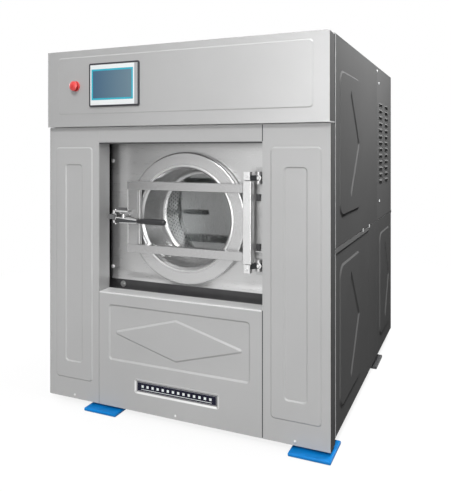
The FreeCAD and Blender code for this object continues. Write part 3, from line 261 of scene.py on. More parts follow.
# Finishes of the scene's own.
extra = {
    "white_face": surface(
        "white_face", (0.80, 0.83, 0.83), roughness=0.28, vary=0.02, patch=10.0, fine=900.0, relief=0.03),
    "cyan_line": surface(
        "cyan_line", (0.045, 0.42, 0.55), roughness=0.25, vary=0.06, patch=12.0, fine=900.0, relief=0.03),
    "grey_trim": surface(
        "grey_trim", (0.42, 0.42, 0.43), metallic=0.2, roughness=0.4, vary=0.03, patch=10.0, fine=900.0,
        relief=0.05),
    "picture": display_picture(
        "picture", left=(0.07, 0.14, 0.22), right=(0.16, 0.24, 0.29), start=-0.42, end=-0.20),
    "fascia_steel": surface(
        "fascia_steel", grey(0.46), metallic=0.28, roughness=0.40, vary=0.03, patch=2.2, fine=60.0,
        stretch=LEVEL, rough_vary=0.05, relief=0.05, Specular_IOR_Level=0.35),
    "apron_steel": surface(
        "apron_steel", (0.125, 0.125, 0.128), metallic=0.1, roughness=0.5, vary=0.08, patch=9.0,
        fine=300.0, relief=0.1),
    # A lighter copy of the yoke's steel: a painted highlight on the hinge bar.
    "hinge_bar_highlight_steel": surface(
        "hinge_bar_highlight_steel", grey(0.66), metallic=0.8, roughness=0.28, vary=0.03, patch=9.0, fine=900.0,
        rough_vary=0.04, relief=0.01),
    # Bright zinc for the bolts and screws; on the latch plate's edges and the latch handle it is a painted
    # highlight.
    "zinc_and_highlight": surface(
        "zinc_and_highlight", grey(0.72), metallic=0.5, roughness=0.32, vary=0.06, patch=30.0, fine=500.0),
    # A lighter copy of the front steel: a painted highlight on the sill and on the wall of the nameplate's
    # pocket.
    "painted_highlight_steel": surface(
        "painted_highlight_steel", grey(0.72), metallic=0.25, roughness=0.36, vary=0.04, patch=7.0, fine=60.0,
        stretch=LEVEL, rough_vary=0.05, relief=0.03),
    # A little lighter than the ring's steel: partly a painted highlight on the bead.
    "bead_steel": surface(
        "bead_steel", grey(0.58), metallic=0.6, roughness=0.30, vary=0.03, patch=9.0, fine=900.0,
        rough_vary=0.04, relief=0.01),
    "reveal_steel": surface(
        "reveal_steel", grey(0.46), metallic=0.25, roughness=0.42, vary=0.03, patch=5.0, fine=60.0,
        stretch=UPRIGHT, rough_vary=0.05, relief=0.03),
    "silver_line": surface(
        "silver_line", (0.50, 0.51, 0.52), metallic=0.6, roughness=0.35, vary=0.05, patch=20.0,
        fine=900.0),
}

# Carried-over CAD nodes

slot_of = {row["node"]: row["material_slot"] for row in frame["record"]["subparts"]}
# Rounding of hard edges in millimetres: of most slots, and of those that differ.
PLAIN_EDGE = 0.8
SOFT_EDGE = {"front_steel": 1.2, "side_steel": 1.2, "yoke_steel": 1.2, "hmi_plastic": 1.2, "black_plate": 0.5,
             "blue_pad": 5.0, "black_rubber": 2.0, "cast_iron": 1.5, "frame_paint": 2.0, "motor_paint": 1.5}
ALREADY_ROUND = {"estop_head", "handle_grip", "air_springs", "door_glass", "drive_belts", "drum_pulley"}


def soften(obj, width):
    """Joins the faces again and rounds their hard edges by width millimetres."""
    weld = obj.modifiers.new("weld", "WELD")
    weld.merge_threshold = 0.00001
    obj.data.shade_smooth()
    bevel = obj.modifiers.new("soft_edges", "BEVEL")
    bevel.width = width * MM
    bevel.segments = 2
    bevel.limit_method = "ANGLE"
    bevel.angle_limit = math.radians(20)
    bevel.harden_normals = False
    normals = obj.modifiers.new("face_normals", "WEIGHTED_NORMAL")
    normals.keep_sharp = False


# Nodes whose finish isn't that of their slot.
# The hinge links' dark steel is painted shade.
OWN_FINISH = {"hinge_links": finish["dark_steel"], "latch_keeper": extra["apron_steel"],
              "tub_shell": finish["dark_steel"], "tub_apron": extra["apron_steel"],
              # The hinge bar's lighter steel is a painted highlight.
              "fascia_panel": extra["fascia_steel"], "yoke_hinge_bar": extra["hinge_bar_highlight_steel"]}

for name, obj in frame["nodes"].items():
    mat = OWN_FINISH.get(name, finish[slot_of[name]])
    if not obj.material_slots:
        obj.data.materials.append(mat)
    for place in obj.material_slots:
        place.material = mat
    if name not in ALREADY_ROUND:
        soften(obj, SOFT_EDGE.get(slot_of[name], PLAIN_EDGE))

# Mesh pieces


class Shape:
    """Vertices and faces of one piece, in cabinet millimetres."""

    def __init__(self):
        self.points = []
        self.faces = []

    def add(self, points, faces):
        """Adds faces that count from the first of their own points."""
        start = len(self.points)
        self.points += [Vector(p) for p in points]
        self.faces += [[start + i for i in face] for face in faces]

    def loft(self, rings, closed_ends=True):
        """Joins closed rings of equal count in order."""
        count = len(rings[0])
        points = [p for ring in rings for p in ring]
        faces = []
        for r in range(len(rings) - 1):
            for i in range(count):
                j = (i + 1) % count
                faces.append([r * count + i, r * count + j, (r + 1) * count + j, (r + 1) * count + i])
        if closed_ends:
            faces.append(list(range(count))[::-1])
            faces.append([(len(rings) - 1) * count + i for i in range(count)])
        self.add(points, faces)

    def make(self, name, body, slot, mat, edge=0.0):
        """The finished piece, riding on a body, its edges rounded by edge millimetres."""
        mesh = bpy.data.meshes.new(name)
        mesh.from_pydata([spot(*p) for p in self.points], [], self.faces)
        work = bmesh.new()
        work.from_mesh(mesh)
        bmesh.ops.recalc_face_normals(work, faces=work.faces)
        work.to_mesh(mesh)
        work.free()
        mesh.materials.append(mat)
        obj = bpy.data.objects.new(name, mesh)
        bpy.context.scene.collection.objects.link(obj)
        if edge:
            soften(obj, edge)
        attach(obj, body)
        return obj


def facing(normal):
    """Two directions across a face that looks along normal, and its unit normal."""
    normal = Vector(normal).normalized()
    side = Vector((0, 0, 1)).cross(normal)
    if side.length < 0.5:
        side = Vector((1, 0, 0))
    side.normalize()
    return side, normal.cross(side).normalized(), normal


def circle(centre, normal, radius, height, count):
    """Points of a circle round normal, height above centre."""
    u, v, n = facing(normal)
    base = Vector(centre) + n * height
    step = 2 * math.pi / count
    return [base + u * radius * math.cos(i * step) + v * radius * math.sin(i * step) for i in range(count)]


FRONTWARD = (0, -1, 0)
SIDES = (-1, 1)

# A bolt's washer, and the chamfer of its head: where it starts, as a share of the height, and what it leaves
# of the radius.
WASHER = 1.6
WASHER_STEPS = 20
HEXAGON = 6
SHOULDER = 0.8
CROWN = 0.86


def hex_bolt(shape, centre, radius, height, washer):
    """A washer and a chamfered hexagon head on a front face."""
    shape.loft([circle(centre, FRONTWARD, washer, h, WASHER_STEPS) for h in (0.0, WASHER)])
    head = ((radius, WASHER), (radius, WASHER + height * SHOULDER), (radius * CROWN, WASHER + height))
    shape.loft([circle(centre, FRONTWARD, r, h, HEXAGON) for r, h in head])


# A pan head's section in shares of its radius and height, from its foot over the dome into the socket.
PAN_HEAD = ((1.0, 0.0), (0.97, 0.45), (0.78, 0.85), (0.5, 1.0), (0.46, 0.45))
PAN_STEPS = 12


def pan_screw(shape, centre, normal, radius, height):
    """A domed head with a round socket."""
    shape.loft([circle(centre, normal, radius * r, height * h, PAN_STEPS) for r, h in PAN_HEAD])


def corners(x0, x1, z0, z1, inset=0.0):
    """Corners of a front rectangle, drawn in by inset."""
    x0, x1 = x0 + inset, x1 - inset
    z0, z1 = z0 + inset, z1 - inset
    return [(x0, z0), (x1, z0), (x1, z1), (x0, z1)]


def plate(shape, low, high):
    """A closed rectangular plate between two corners."""
    (x0, y0, z0), (x1, y1, z1) = low, high
    shape.loft([[(x, y, z) for x, z in corners(x0, x1, z0, z1)] for y in (y0, y1)])


def block(shape, low, high, chamfer):
    """A block whose front face, at the smaller y, has chamfered edges."""
    (x0, y0, z0), (x1, y1, z1) = low, high
    levels = ((y1, 0.0), (y0 + chamfer, 0.0), (y0, chamfer))
    shape.loft([[(x, y, z) for x, z in corners(x0, x1, z0, z1, inset)] for y, inset in levels])


def along_x(shape, outline, x0, x1):
    """A bar along X whose outline is given in Y and Z."""
    shape.loft([[(x, y, z) for y, z in outline] for x in (x0, x1)])


def tapered(shape, y0, y1, start, end):
    """A bar along X between two depths; each end gives a place on X and the lower and upper edge there."""
    shape.loft([[(x, y, z) for y, z in ((y0, low), (y0, high), (y1, high), (y1, low))]
                for x, low, high in (start, end)])


def border(shape, low, high, width):
    """A flat rectangular frame of even width, drawn on a front face."""
    (x0, y0, z0), (x1, y1, z1) = low, high
    outer = corners(x0, x1, z0, z1)
    inner = corners(x0, x1, z0, z1, width)
    points = [(x, y, z) for y in (y0, y1) for ring in (outer, inner) for x, z in ring]
    faces = []
    for i in range(4):
        j = (i + 1) % 4
        faces.append([i, j, 4 + j, 4 + i])
        faces.append([8 + i, 12 + i, 12 + j, 8 + j])
        faces.append([i, 8 + i, 8 + j, j])
        faces.append([4 + i, 4 + j, 12 + j, 12 + i])
    shape.add(points, faces)


CORNER_STEPS = 6


def round_corners(x0, x1, z0, z1, radius, y):
    """A rounded rectangle seen from the front, at depth y."""
    points = []
    for cx, cz, start in ((x1 - radius, z0 + radius, -90), (x1 - radius, z1 - radius, 0),
                          (x0 + radius, z1 - radius, 90), (x0 + radius, z0 + radius, 180)):
        for k in range(CORNER_STEPS + 1):
            angle = math.radians(start + 90 * k / CORNER_STEPS)
            points.append((cx + radius * math.cos(angle), y, cz + radius * math.sin(angle)))
    return points


def node_box(node):
    """A CAD node's lowest and highest corner in cabinet millimetres."""
    low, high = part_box(node)
    return [tuple((p - Vector((0, PILLAR_FRONT, 0))) / MM) for p in (low, high)]


LOW, HIGH = 0, 1
X, Y, Z = 0, 1, 2


def limit(node, end, axis):
    """Where a CAD node ends along an axis, in cabinet millimetres to a hundredth."""
    return round(node_box(node)[end][axis], 2)


# Drum: its wall and the sheet on its back wall, both perforated.
DOOR_AXIS = 0.5 * (limit("drum_shaft", LOW, Z) + limit("drum_shaft", HIGH, Z))
DRUM_SHEET = 4.0
DRUM_RADIUS = limit("drum_shell", HIGH, X) - DRUM_SHEET
DRUM_FRONT = limit("drum_shell", LOW, Y)
DRUM_BACK = limit("drum_shell", HIGH, Y)
HOLE = 5.6


def holed_cell(shape, corner, place, hole):
    """One sheet cell with an eight-sided hole: corner gives its four corners, place maps hole offsets."""
    turns = [math.radians(45 * k) for k in range(8)]
    ring = [place(hole * math.cos(t), hole * math.sin(t)) for t in turns]
    faces = [[0, 1, 4 + 7, 4 + 6, 4 + 5], [1, 2, 4 + 1, 4 + 0, 4 + 7], [2, 3, 4 + 3, 4 + 2, 4 + 1],
             [3, 0, 4 + 5, 4 + 4, 4 + 3]]
    shape.add(corner + ring, faces)


def drum_point(arc, y):
    """A point of the drum wall, by its way round the wall and its depth."""
    angle = arc / DRUM_RADIUS
    return (DRUM_RADIUS * math.cos(angle), y, DOOR_AXIS + DRUM_RADIUS * math.sin(angle))


def perforated_drum():
    """The drum's wall: staggered rows of holes between two plain edges."""
    shape = Shape()
    around = 132
    rows = 23
    pitch = 2 * math.pi * DRUM_RADIUS / around
    plain = 14.0
    rise = (DRUM_BACK - DRUM_FRONT - 2 * plain) / rows
    for j in range(rows):
        y0 = DRUM_FRONT + plain + j * rise
        y1 = y0 + rise
        for i in range(around):
            s0 = (i + 0.5 * j) * pitch
            s1 = s0 + 0.5 * pitch
            corner = [drum_point(s0, y0), drum_point(s0 + pitch, y0),
                      drum_point(s1 + pitch, y1), drum_point(s1, y1)]
            middle = s0 + 0.75 * pitch
            holed_cell(shape, corner, lambda a, b: drum_point(middle + a, 0.5 * (y0 + y1) + b), HOLE)
    for y0, y1, turn in ((DRUM_FRONT, DRUM_FRONT + plain, 0.0), (DRUM_BACK - plain, DRUM_BACK, 0.5 * rows)):
        for i in range(around):
            s0 = (i + turn) * pitch
            s1 = s0 + pitch
            shape.add([drum_point(s0, y0), drum_point(s1, y0), drum_point(s1, y1), drum_point(s0, y1)],
                      [[0, 1, 2, 3]])
    return shape


def perforated_back():
    """Round sheet on the drum's back wall, holed in rings."""
    shape = Shape()
    clear = 1.5
    y = DRUM_BACK - clear
    first = 72.0
    rings = 16
    step = 24.5

    def at(radius, angle):
        return (radius * math.cos(angle), y, DOOR_AXIS + radius * math.sin(angle))

    for k in range(rings):
        r0 = first + k * step
        r1 = r0 + step
        count = int(round(math.pi * (r0 + r1) / step))
        for i in range(count):
            a0 = 2 * math.pi * (i + 0.5 * (k % 2)) / count
            a1 = a0 + 2 * math.pi / count
            mid_r = 0.5 * (r0 + r1)
            mid_a = 0.5 * (a0 + a1)
            corner = [at(r0, a0), at(r0, a1), at(r1, a1), at(r1, a0)]
            holed_cell(shape, corner, lambda a, b: at(mid_r + b, mid_a + a / mid_r), HOLE)
    return shape


drum_wall = perforated_drum().make("drum_wall_perforated", "drum", "drum_steel", finish["drum_steel"])
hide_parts("drum_shell")
perforated_back().make("drum_back_screen", "drum", "drum_steel", finish["drum_steel"])

# Thin layers on a plate: how far the first reaches into it, and how far above it the second starts.
BEDDED = 0.2
LAYER = 0.2

# Operator panel: white face, grey strip, cyan line and picture on the glass.
(gx0, gy0, gz0), (gx1, _, gz1) = node_box("hmi_screen")
STRIP = 16.0
RIM = 8.0
GLASS_EDGE = 0.5
PICTURE_SIDE = 7.0
PICTURE_FOOT = 23.0
PICTURE_HEAD = 20.0
# How far each layer stands in front of the glass.
FACE_FRONT = 0.4
STRIP_FRONT = 0.3
RIM_FRONT = 0.7
PICTURE_FRONT = 0.6
face_end = gx1 - STRIP
face = Shape()
plate(face, (gx0 + GLASS_EDGE, gy0 - FACE_FRONT, gz0 + GLASS_EDGE),
      (face_end, gy0 + BEDDED, gz1 - GLASS_EDGE))
face.make("hmi_face", "cabinet", "hmi_glass", extra["white_face"])
edge_strip = Shape()
plate(edge_strip, (face_end, gy0 - STRIP_FRONT, gz0 + GLASS_EDGE),
      (gx1 - GLASS_EDGE, gy0 + BEDDED, gz1 - GLASS_EDGE))
edge_strip.make("hmi_strip", "cabinet", "hmi_plastic", extra["grey_trim"])
sx0, sx1 = gx0 + PICTURE_SIDE, face_end - PICTURE_SIDE
sz0, sz1 = gz0 + PICTURE_FOOT, gz1 - PICTURE_HEAD
rim = Shape()
border(rim, (sx0, gy0 - RIM_FRONT, sz0), (sx1, gy0 - LAYER, sz1), RIM)
rim.make("hmi_rim", "cabinet", "hmi_glass", extra["cyan_line"])
picture = Shape()
plate(picture, (sx0 + RIM, gy0 - PICTURE_FRONT, sz0 + RIM), (sx1 - RIM, gy0 - LAYER, sz1 - RIM))
picture.make("hmi_picture", "cabinet", "hmi_glass", extra["picture"])

# Nameplate: a thin bright line round a row of plain squares and a thin rule.
(nx0, ny0, nz0), (nx1, _, nz1) = node_box("nameplate")
LINE_INSET = 2.0
LINE_WIDTH = 1.2
LINE_HEIGHT = 0.2
SQUARES = 14
SQUARE = 11.0
SQUARE_FOOT = 18.0
ROW_MARGIN = 30.0
RULE_MARGIN = 24.0
RULE_FOOT = 9.0
RULE_HEAD = 11.0
MARK = 0.3
line = Shape()
border(line, (nx0 + LINE_INSET, ny0 - LINE_HEIGHT, nz0 + LINE_INSET),
       (nx1 - LINE_INSET, ny0 + BEDDED, nz1 - LINE_INSET), LINE_WIDTH)
line.make("nameplate_line", "cabinet", "chrome_trim", extra["silver_line"])
marks = Shape()
pitch = (nx1 - nx0 - 2 * ROW_MARGIN) / (SQUARES - 1)
for i in range(SQUARES):
    x = nx0 + ROW_MARGIN + i * pitch
    plate(marks, (x - SQUARE / 2, ny0 - MARK, nz0 + SQUARE_FOOT),
          (x + SQUARE / 2, ny0 + BEDDED, nz0 + SQUARE_FOOT + SQUARE))
plate(marks, (nx0 + RULE_MARGIN, ny0 - MARK, nz0 + RULE_FOOT),
      (nx1 - RULE_MARGIN, ny0 + BEDDED, nz0 + RULE_HEAD))
marks.make("nameplate_squares", "cabinet", "chrome_trim", extra["white_face"])

# Sloping wall round the nameplate's pocket, in the lighter steel as a painted highlight: its section is given
# in way inward and depth.
POCKET = 12.0
POCKET_CORNER = 13.0
SLOPE = ((0.4, 3.9), (0.4, -0.2), (1.4, -0.2), (8.0, 3.6), (8.0, 3.9), (0.4, 3.9))
slope = Shape()
slope.loft([round_corners(nx0 - POCKET + d, nx1 + POCKET - d, nz0 - POCKET + d, nz1 + POCKET - d,
                          POCKET_CORNER - d, y) for d, y in SLOPE], closed_ends=False)
slope.make("nameplate_slope", "cabinet", "front_steel", extra["painted_highlight_steel"])

# Bolts of the tub plate and the apron, on their front faces.
TUB_PLATE = limit("tub_front_plate", LOW, Y)
PLATE_BOLT_X = 416
PLATE_BOLT_Z = (638, 1148)
APRON = limit("tub_apron", LOW, Y)
APRON_BOLT_X = 388
APRON_BOLT_Z = 546
bolts = Shape()
for side in SIDES:
    for z in PLATE_BOLT_Z:
        hex_bolt(bolts, (side * PLATE_BOLT_X, TUB_PLATE, z), radius=8.0, height=5.5, washer=10.5)
for side in SIDES:
    hex_bolt(bolts, (side * APRON_BOLT_X, APRON, APRON_BOLT_Z), radius=9.0, height=6.5, washer=15.0)
bolts.make("tub_plate_bolts", "tub", "zinc_steel", extra["zinc_and_highlight"])

# Bead round the inner edge of the door ring, a little lighter than the ring as a partly painted highlight:
# its section is given in radius and depth.
BEAD = ((231.0, 85.0), (230.4, 80.6), (232.4, 77.6), (236.4, 76.4), (240.4, 77.4), (243.0, 80.2),
        (240.0, 82.0))
BEAD_STEPS = 120
bead = Shape()
turns = [2 * math.pi * i / BEAD_STEPS for i in range(BEAD_STEPS)]
rows = [[(r * math.cos(t), y, DOOR_AXIS + r * math.sin(t)) for t in turns] for r, y in BEAD]
bead.loft(rows + rows[:1], closed_ends=False)
bead.make("door_lip_bead", "door", "ring_steel", extra["bead_steel"])

# Rolled lip along the foot of the tub plate: its front is given in depth and height, and its back lies a
# sheet behind.
LIP = ((119.8, 622.0), (119.2, 614.0), (117.6, 606.0), (114.8, 598.0), (110.6, 590.0), (107.0, 585.0))
LIP_SHEET = 1.6
LIP_DROP = 0.6
LIP_HALF = 412.0
lip = Shape()
inside = [(y + LIP_SHEET, z - LIP_DROP) for y, z in LIP[1:]]
along_x(lip, list(LIP) + inside[::-1], -LIP_HALF, LIP_HALF)
lip.make("tub_plate_lip", "tub", "tub_steel", finish["tub_steel"], edge=0.4)

# Ends of the apron, seen past the tub plate.
APRON_BACK = limit("tub_apron", HIGH, Y)
APRON_TOP = limit("tub_apron", HIGH, Z)
APRON_HALF = limit("tub_apron", HIGH, X)
APRON_REACH = 474.0
APRON_END_FOOT = 520.0
apron_ends = Shape()
for side in SIDES:
    x0, x1 = sorted((side * APRON_HALF, side * APRON_REACH))
    plate(apron_ends, (x0, APRON, APRON_END_FOOT), (x1, APRON_BACK, APRON_TOP))
apron_ends.make("apron_ends", "tub", "black_rubber", extra["apron_steel"])

# Cap on the sill under the door, rounded at its front edge, in a lighter steel as a painted highlight:
# its section is given in depth and height.
SILL = ((-0.4, 541.0), (-0.8, 545.0), (0.6, 547.4), (3.0, 548.2), (75.0, 548.2), (75.0, 547.1), (3.4, 547.1),
        (1.2, 546.4), (0.1, 544.6), (0.1, 541.0))
SILL_HALF = 402.0
sill = Shape()
along_x(sill, SILL, -SILL_HALF, SILL_HALF)
sill.make("sill_highlight_cap", "cabinet", "front_steel", extra["painted_highlight_steel"], edge=0.4)

# Brushed liner on the reveal of the left pillar, between the sill and the header.
REVEAL = limit("left_pillar_panel", HIGH, X)
LINER_SHEET = 0.8
LINER_FRONT = 1.5
LINER_BACK = 77.6
LINER_FOOT = 549.0
LINER_HEAD = 1227.0
liner = Shape()
plate(liner, (REVEAL - BEDDED, LINER_FRONT, LINER_FOOT), (REVEAL + LINER_SHEET, LINER_BACK, LINER_HEAD))
liner.make("reveal_liner", "cabinet", "front_steel", extra["reveal_steel"])

# Dark strips: one along the lower edge of the header, and painted shadow in the seams beside the right
# pillar.
HEADER_DARK_STRIP = ((-404.0, -0.2, 1227.5), (404.0, 3.0, 1233.8))
PILLAR_SEAM_LEFT = 404.2
PILLAR_SEAM_RIGHT = 408.2
DARK_STRIP_FRONT = -0.4
DARK_STRIP_BACK = 0.6
PILLAR_SEAMS = ((30.0, 546.0), (1236.0, 1304.0))
dark_strips = Shape()
plate(dark_strips, *HEADER_DARK_STRIP)
for z0, z1 in PILLAR_SEAMS:
    plate(dark_strips, (PILLAR_SEAM_LEFT, DARK_STRIP_FRONT, z0), (PILLAR_SEAM_RIGHT, DARK_STRIP_BACK, z1))
dark_strips.make("dark_seam_strips", "cabinet", "black_rubber", finish["black_rubber"])

# Screws at the lower edges of the front panels.
SCREW_PLACES = (-545, 0, 545)
SCREW_HEIGHT = 44
front_screws = Shape()
for x in SCREW_PLACES:
    pan_screw(front_screws, (x, 0, SCREW_HEIGHT), FRONTWARD, radius=5.0, height=3.0)
front_screws.make("front_screws", "cabinet", "zinc_steel", extra["zinc_and_highlight"])

# Hinge: an end block with its set screw on each link, and a washer with its bolt at the fixed pin. The block
# reaches in and out from the link's middle, and the screw sits a little way out.
LINK_MIDDLE = (1081.0, 708.0)
BLOCK_FRONT = 43.0
BLOCK_BACK = 47.0
BLOCK_MIDDLE = 318.0
BLOCK_HALF = 15.0
BLOCK_IN = 9.0
BLOCK_OUT = 28.0
SCREW_OUT = 9.0
FIXED_PIN = (354.0, 84.5)
fittings = Shape()
for z, up in zip(LINK_MIDDLE, (1, -1)):
    z0, z1 = sorted((z - BLOCK_IN * up, z + BLOCK_OUT * up))
    block(fittings, (BLOCK_MIDDLE - BLOCK_HALF, BLOCK_FRONT, z0),
          (BLOCK_MIDDLE + BLOCK_HALF, BLOCK_BACK, z1), chamfer=2.0)
    pan_screw(fittings, (BLOCK_MIDDLE, BLOCK_FRONT, z + SCREW_OUT * up), FRONTWARD, radius=7.0, height=4.0)
    hex_bolt(fittings, FIXED_PIN + (z,), radius=8.5, height=6.0, washer=14.0)
fittings.make("link_fittings", "hinge_link", "hinge_steel", extra["zinc_and_highlight"], edge=0.5)

# Latch plate: a wing along its right edge, and light strips on two edges as painted highlights. Each is given
# in place on X and depth.
LATCH_MARGIN = 1.0
LATCH_FOOT = limit("yoke_latch_plate", LOW, Z) + LATCH_MARGIN
LATCH_HEAD = limit("yoke_latch_plate", HIGH, Z) - LATCH_MARGIN
WING_ROOT = limit("yoke_latch_plate", HIGH, X) - BEDDED
WING_EDGE = -219.0
WING_BACK = 66.0
WING = ((WING_ROOT, 50.0), (WING_EDGE, WING_BACK))
EDGE_HIGHLIGHTS = (((-280.2, 45.2), (-277.0, 46.2)), ((WING_EDGE, 49.4), (-214.6, WING_BACK)))


def latch_strip(shape, low, high):
    """A strip over the latch plate's height."""
    plate(shape, low + (LATCH_FOOT,), high + (LATCH_HEAD,))


wing = Shape()
latch_strip(wing, *WING)
wing.make("latch_plate_wing", "door", "yoke_steel", finish["yoke_steel"])
latch_highlights = Shape()
for low, high in EDGE_HIGHLIGHTS:
    latch_strip(latch_highlights, low, high)
latch_highlights.make("latch_plate_highlights", "door", "yoke_steel", extra["zinc_and_highlight"], edge=0.4)

# Latch handle: fork tips, a rib on the upper arm and two rails in a light finish as painted highlights, with
# a dark web between the rails as painted shade.
FORK_FACE = 27.2
TIP_LEFT = -348.0
TIP_RIGHT = -337.0
TIP_FRONT = 25.4
TIPS = ((904.0, 921.0), (863.0, 876.0))
RIB = ((-330.0, 19.0, 914.5), (-268.0, FORK_FACE, 921.5))
LEVER_END = limit("handle_lever", HIGH, X)
LEVER_FACE = 20.6
RAIL_FRONT = 17.0
RAILS = (((-328.0, 887.5, 892.0), (LEVER_END, 879.5, 884.0)),
         ((-306.0, 864.0, 867.0), (LEVER_END, 867.0, 870.0)))
WEB_FRONT = 19.4
WEB = ((-318.0, 866.0, 888.0), (LEVER_END, 869.0, 880.0))
lever_highlights = Shape()
for z0, z1 in TIPS:
    block(lever_highlights, (TIP_LEFT, TIP_FRONT, z0), (TIP_RIGHT, FORK_FACE, z1), chamfer=1.0)
block(lever_highlights, *RIB, chamfer=1.5)
for start, end in RAILS:
    tapered(lever_highlights, RAIL_FRONT, LEVER_FACE, start, end)
lever_highlights.make("lever_highlight_strips", "door_handle", "hinge_steel", extra["zinc_and_highlight"], edge=0.4)
shaded_web = Shape()
tapered(shaded_web, WEB_FRONT, LEVER_FACE, *WEB)
shaded_web.make("lever_shaded_web", "door_handle", "dark_steel", finish["dark_steel"])

# Hinge bracket: two rubber stops and a small shelf.
BRACKET_FACE = 112.0
STOP_LEFT = 338.0
STOP_RIGHT = 356.0
STOP_FRONT = 101.0
STOP_HALF = 14.0
STOPS = (783.0, 996.0)
SHELF = ((335.0, 96.0, 764.0), (372.0, BRACKET_FACE, 767.0))
stops = Shape()
for z in STOPS:
    block(stops, (STOP_LEFT, STOP_FRONT, z - STOP_HALF),
          (STOP_RIGHT, BRACKET_FACE, z + STOP_HALF), chamfer=2.0)
stops.make("bracket_stops", "tub", "black_rubber", finish["black_rubber"], edge=0.5)
shelf = Shape()
plate(shelf, *SHELF)
shelf.make("bracket_shelf", "tub", "hinge_steel", extra["zinc_and_highlight"], edge=0.4)

# Side panels: their outer face, and the lower edge of their middle seam. Both sides get the same pieces.
SIDE_FACE = limit("top_panel", HIGH, X)
SEAM = limit("right_lower_panel", HIGH, Z)


def side_strip(shape, side, y0, y1, z0, z1, foot, top):
    """A strip on a side panel that stands out by foot at its lower edge and by top at its upper edge."""
    rows = [(SIDE_FACE, z0), (SIDE_FACE + foot, z0), (SIDE_FACE + top, z1), (SIDE_FACE, z1)]
    shape.loft([[(side * x, y, z) for x, z in rows] for y in (y0, y1)])


# Dark strips over the folds of the front panels as painted shade, and light zinc strips along the front edge
# of the side
# panels as a painted highlight: each is given by its ends on Y and on Z.
SHADED_FOLD_STRIPS = ((-2.0, 66.0, 29.0, 1304.0), (-16.0, 58.0, 1313.0, 1660.0))
FRONT_EDGES = ((68.5, 73.0, 52.0, 802.0), (68.5, 73.0, 808.0, 1662.0))
SHADE_STRIP_RISE = 0.7
EDGE = 1.6
shaded_folds = Shape()
edges = Shape()
for side in SIDES:
    for place in SHADED_FOLD_STRIPS:
        side_strip(shaded_folds, side, *place, foot=SHADE_STRIP_RISE, top=SHADE_STRIP_RISE)
    for place in FRONT_EDGES:
        side_strip(edges, side, *place, foot=EDGE, top=EDGE)
shaded_folds.make("shaded_fold_strips", "cabinet", "side_steel", finish["side_steel"])
edges.make("side_edge_highlights", "cabinet", "zinc_steel", finish["zinc_steel"])

# Dark gaskets in the seams of the side panels, and a dust screen behind the louvres: each is given by its
# ends on Y and on Z.
GASKETS = ((778.1, 779.9, 52.0, 803.0), (1036.1, 1037.9, 52.0, 1660.0), (70.0, 1550.0, 804.1, 805.9))
GASKET_DEPTH = (673.0, 686.0)
DUST_SCREEN = (1085.0, 1420.0, 1000.0, 1490.0)
DUST_SCREEN_DEPTH = (686.2, 687.2)


def side_plate(shape, side, depth, y0, y1, z0, z1):
    """A plate inside a side panel, between two distances from the middle."""
    x0, x1 = sorted(side * x for x in depth)
    plate(shape, (x0, y0, z0), (x1, y1, z1))


gaskets = Shape()
dust_screen = Shape()
for side in SIDES:
    for place in GASKETS:
        side_plate(gaskets, side, GASKET_DEPTH, *place)
    side_plate(dust_screen, side, DUST_SCREEN_DEPTH, *DUST_SCREEN)
gaskets.make("seam_gaskets", "cabinet", "black_rubber", finish["black_rubber"])
dust_screen.make("louvre_screens", "cabinet", "louvre_steel", finish["louvre_steel"])

# Rolled lower lips of the louvres.
LOUVRES = 13
LOUVRE_FIRST = 1023.0
LOUVRE_PITCH = 36.4
LOUVRE_COLUMNS = (1151.0, 1353.0)
LOUVRE_HALF = 51.0
LOUVRE_LIP_FOOT = -10.0
LOUVRE_LIP_HEAD = -3.0
louvre_lips = Shape()
for side in SIDES:
    for y in LOUVRE_COLUMNS:
        for i in range(LOUVRES):
            z = LOUVRE_FIRST + LOUVRE_PITCH * i
            side_strip(louvre_lips, side, y - LOUVRE_HALF, y + LOUVRE_HALF,
                       z + LOUVRE_LIP_FOOT, z + LOUVRE_LIP_HEAD, foot=0.6, top=2.6)
louvre_lips.make("louvre_lips", "cabinet", "louvre_steel", finish["louvre_steel"])

# Quarter-turn latches by Y and Z; and clips, a sloping lip and a rear plug on the middle seam by their ends
# on Y and on Z.
SIDE_LATCHES = ((1096, 1578), (1043, 1642), (1113, 909))
CLIPS = ((625.0, 645.0, SEAM - 7.0, SEAM + 9.0), (788.0, 808.0, SEAM - 7.0, SEAM + 9.0))
SEAM_LIP = (70.0, 776.0, SEAM - 18.0, SEAM)
SEAM_PLUG = (1526.0, 1552.0, SEAM - 6.0, SEAM + 12.0)
latches = Shape()
clips = Shape()
lips = Shape()
plugs = Shape()
for side in SIDES:
    for y, z in SIDE_LATCHES:
        pan_screw(latches, (side * SIDE_FACE, y, z), (side, 0, 0), radius=8.0, height=3.5)
    for place in CLIPS:
        side_strip(clips, side, *place, foot=2.4, top=1.6)
    side_strip(lips, side, *SEAM_LIP, foot=3.5, top=0.6)
    side_strip(plugs, side, *SEAM_PLUG, foot=4.0, top=3.0)
latches.make("side_latches", "cabinet", "zinc_steel", finish["zinc_steel"])
clips.make("side_clips", "cabinet", "zinc_steel", finish["zinc_steel"], edge=0.5)
lips.make("side_lips", "cabinet", "side_steel", finish["louvre_steel"], edge=0.3)
plugs.make("seam_plugs", "cabinet", "black_plastic", finish["black_plastic"], edge=0.5)

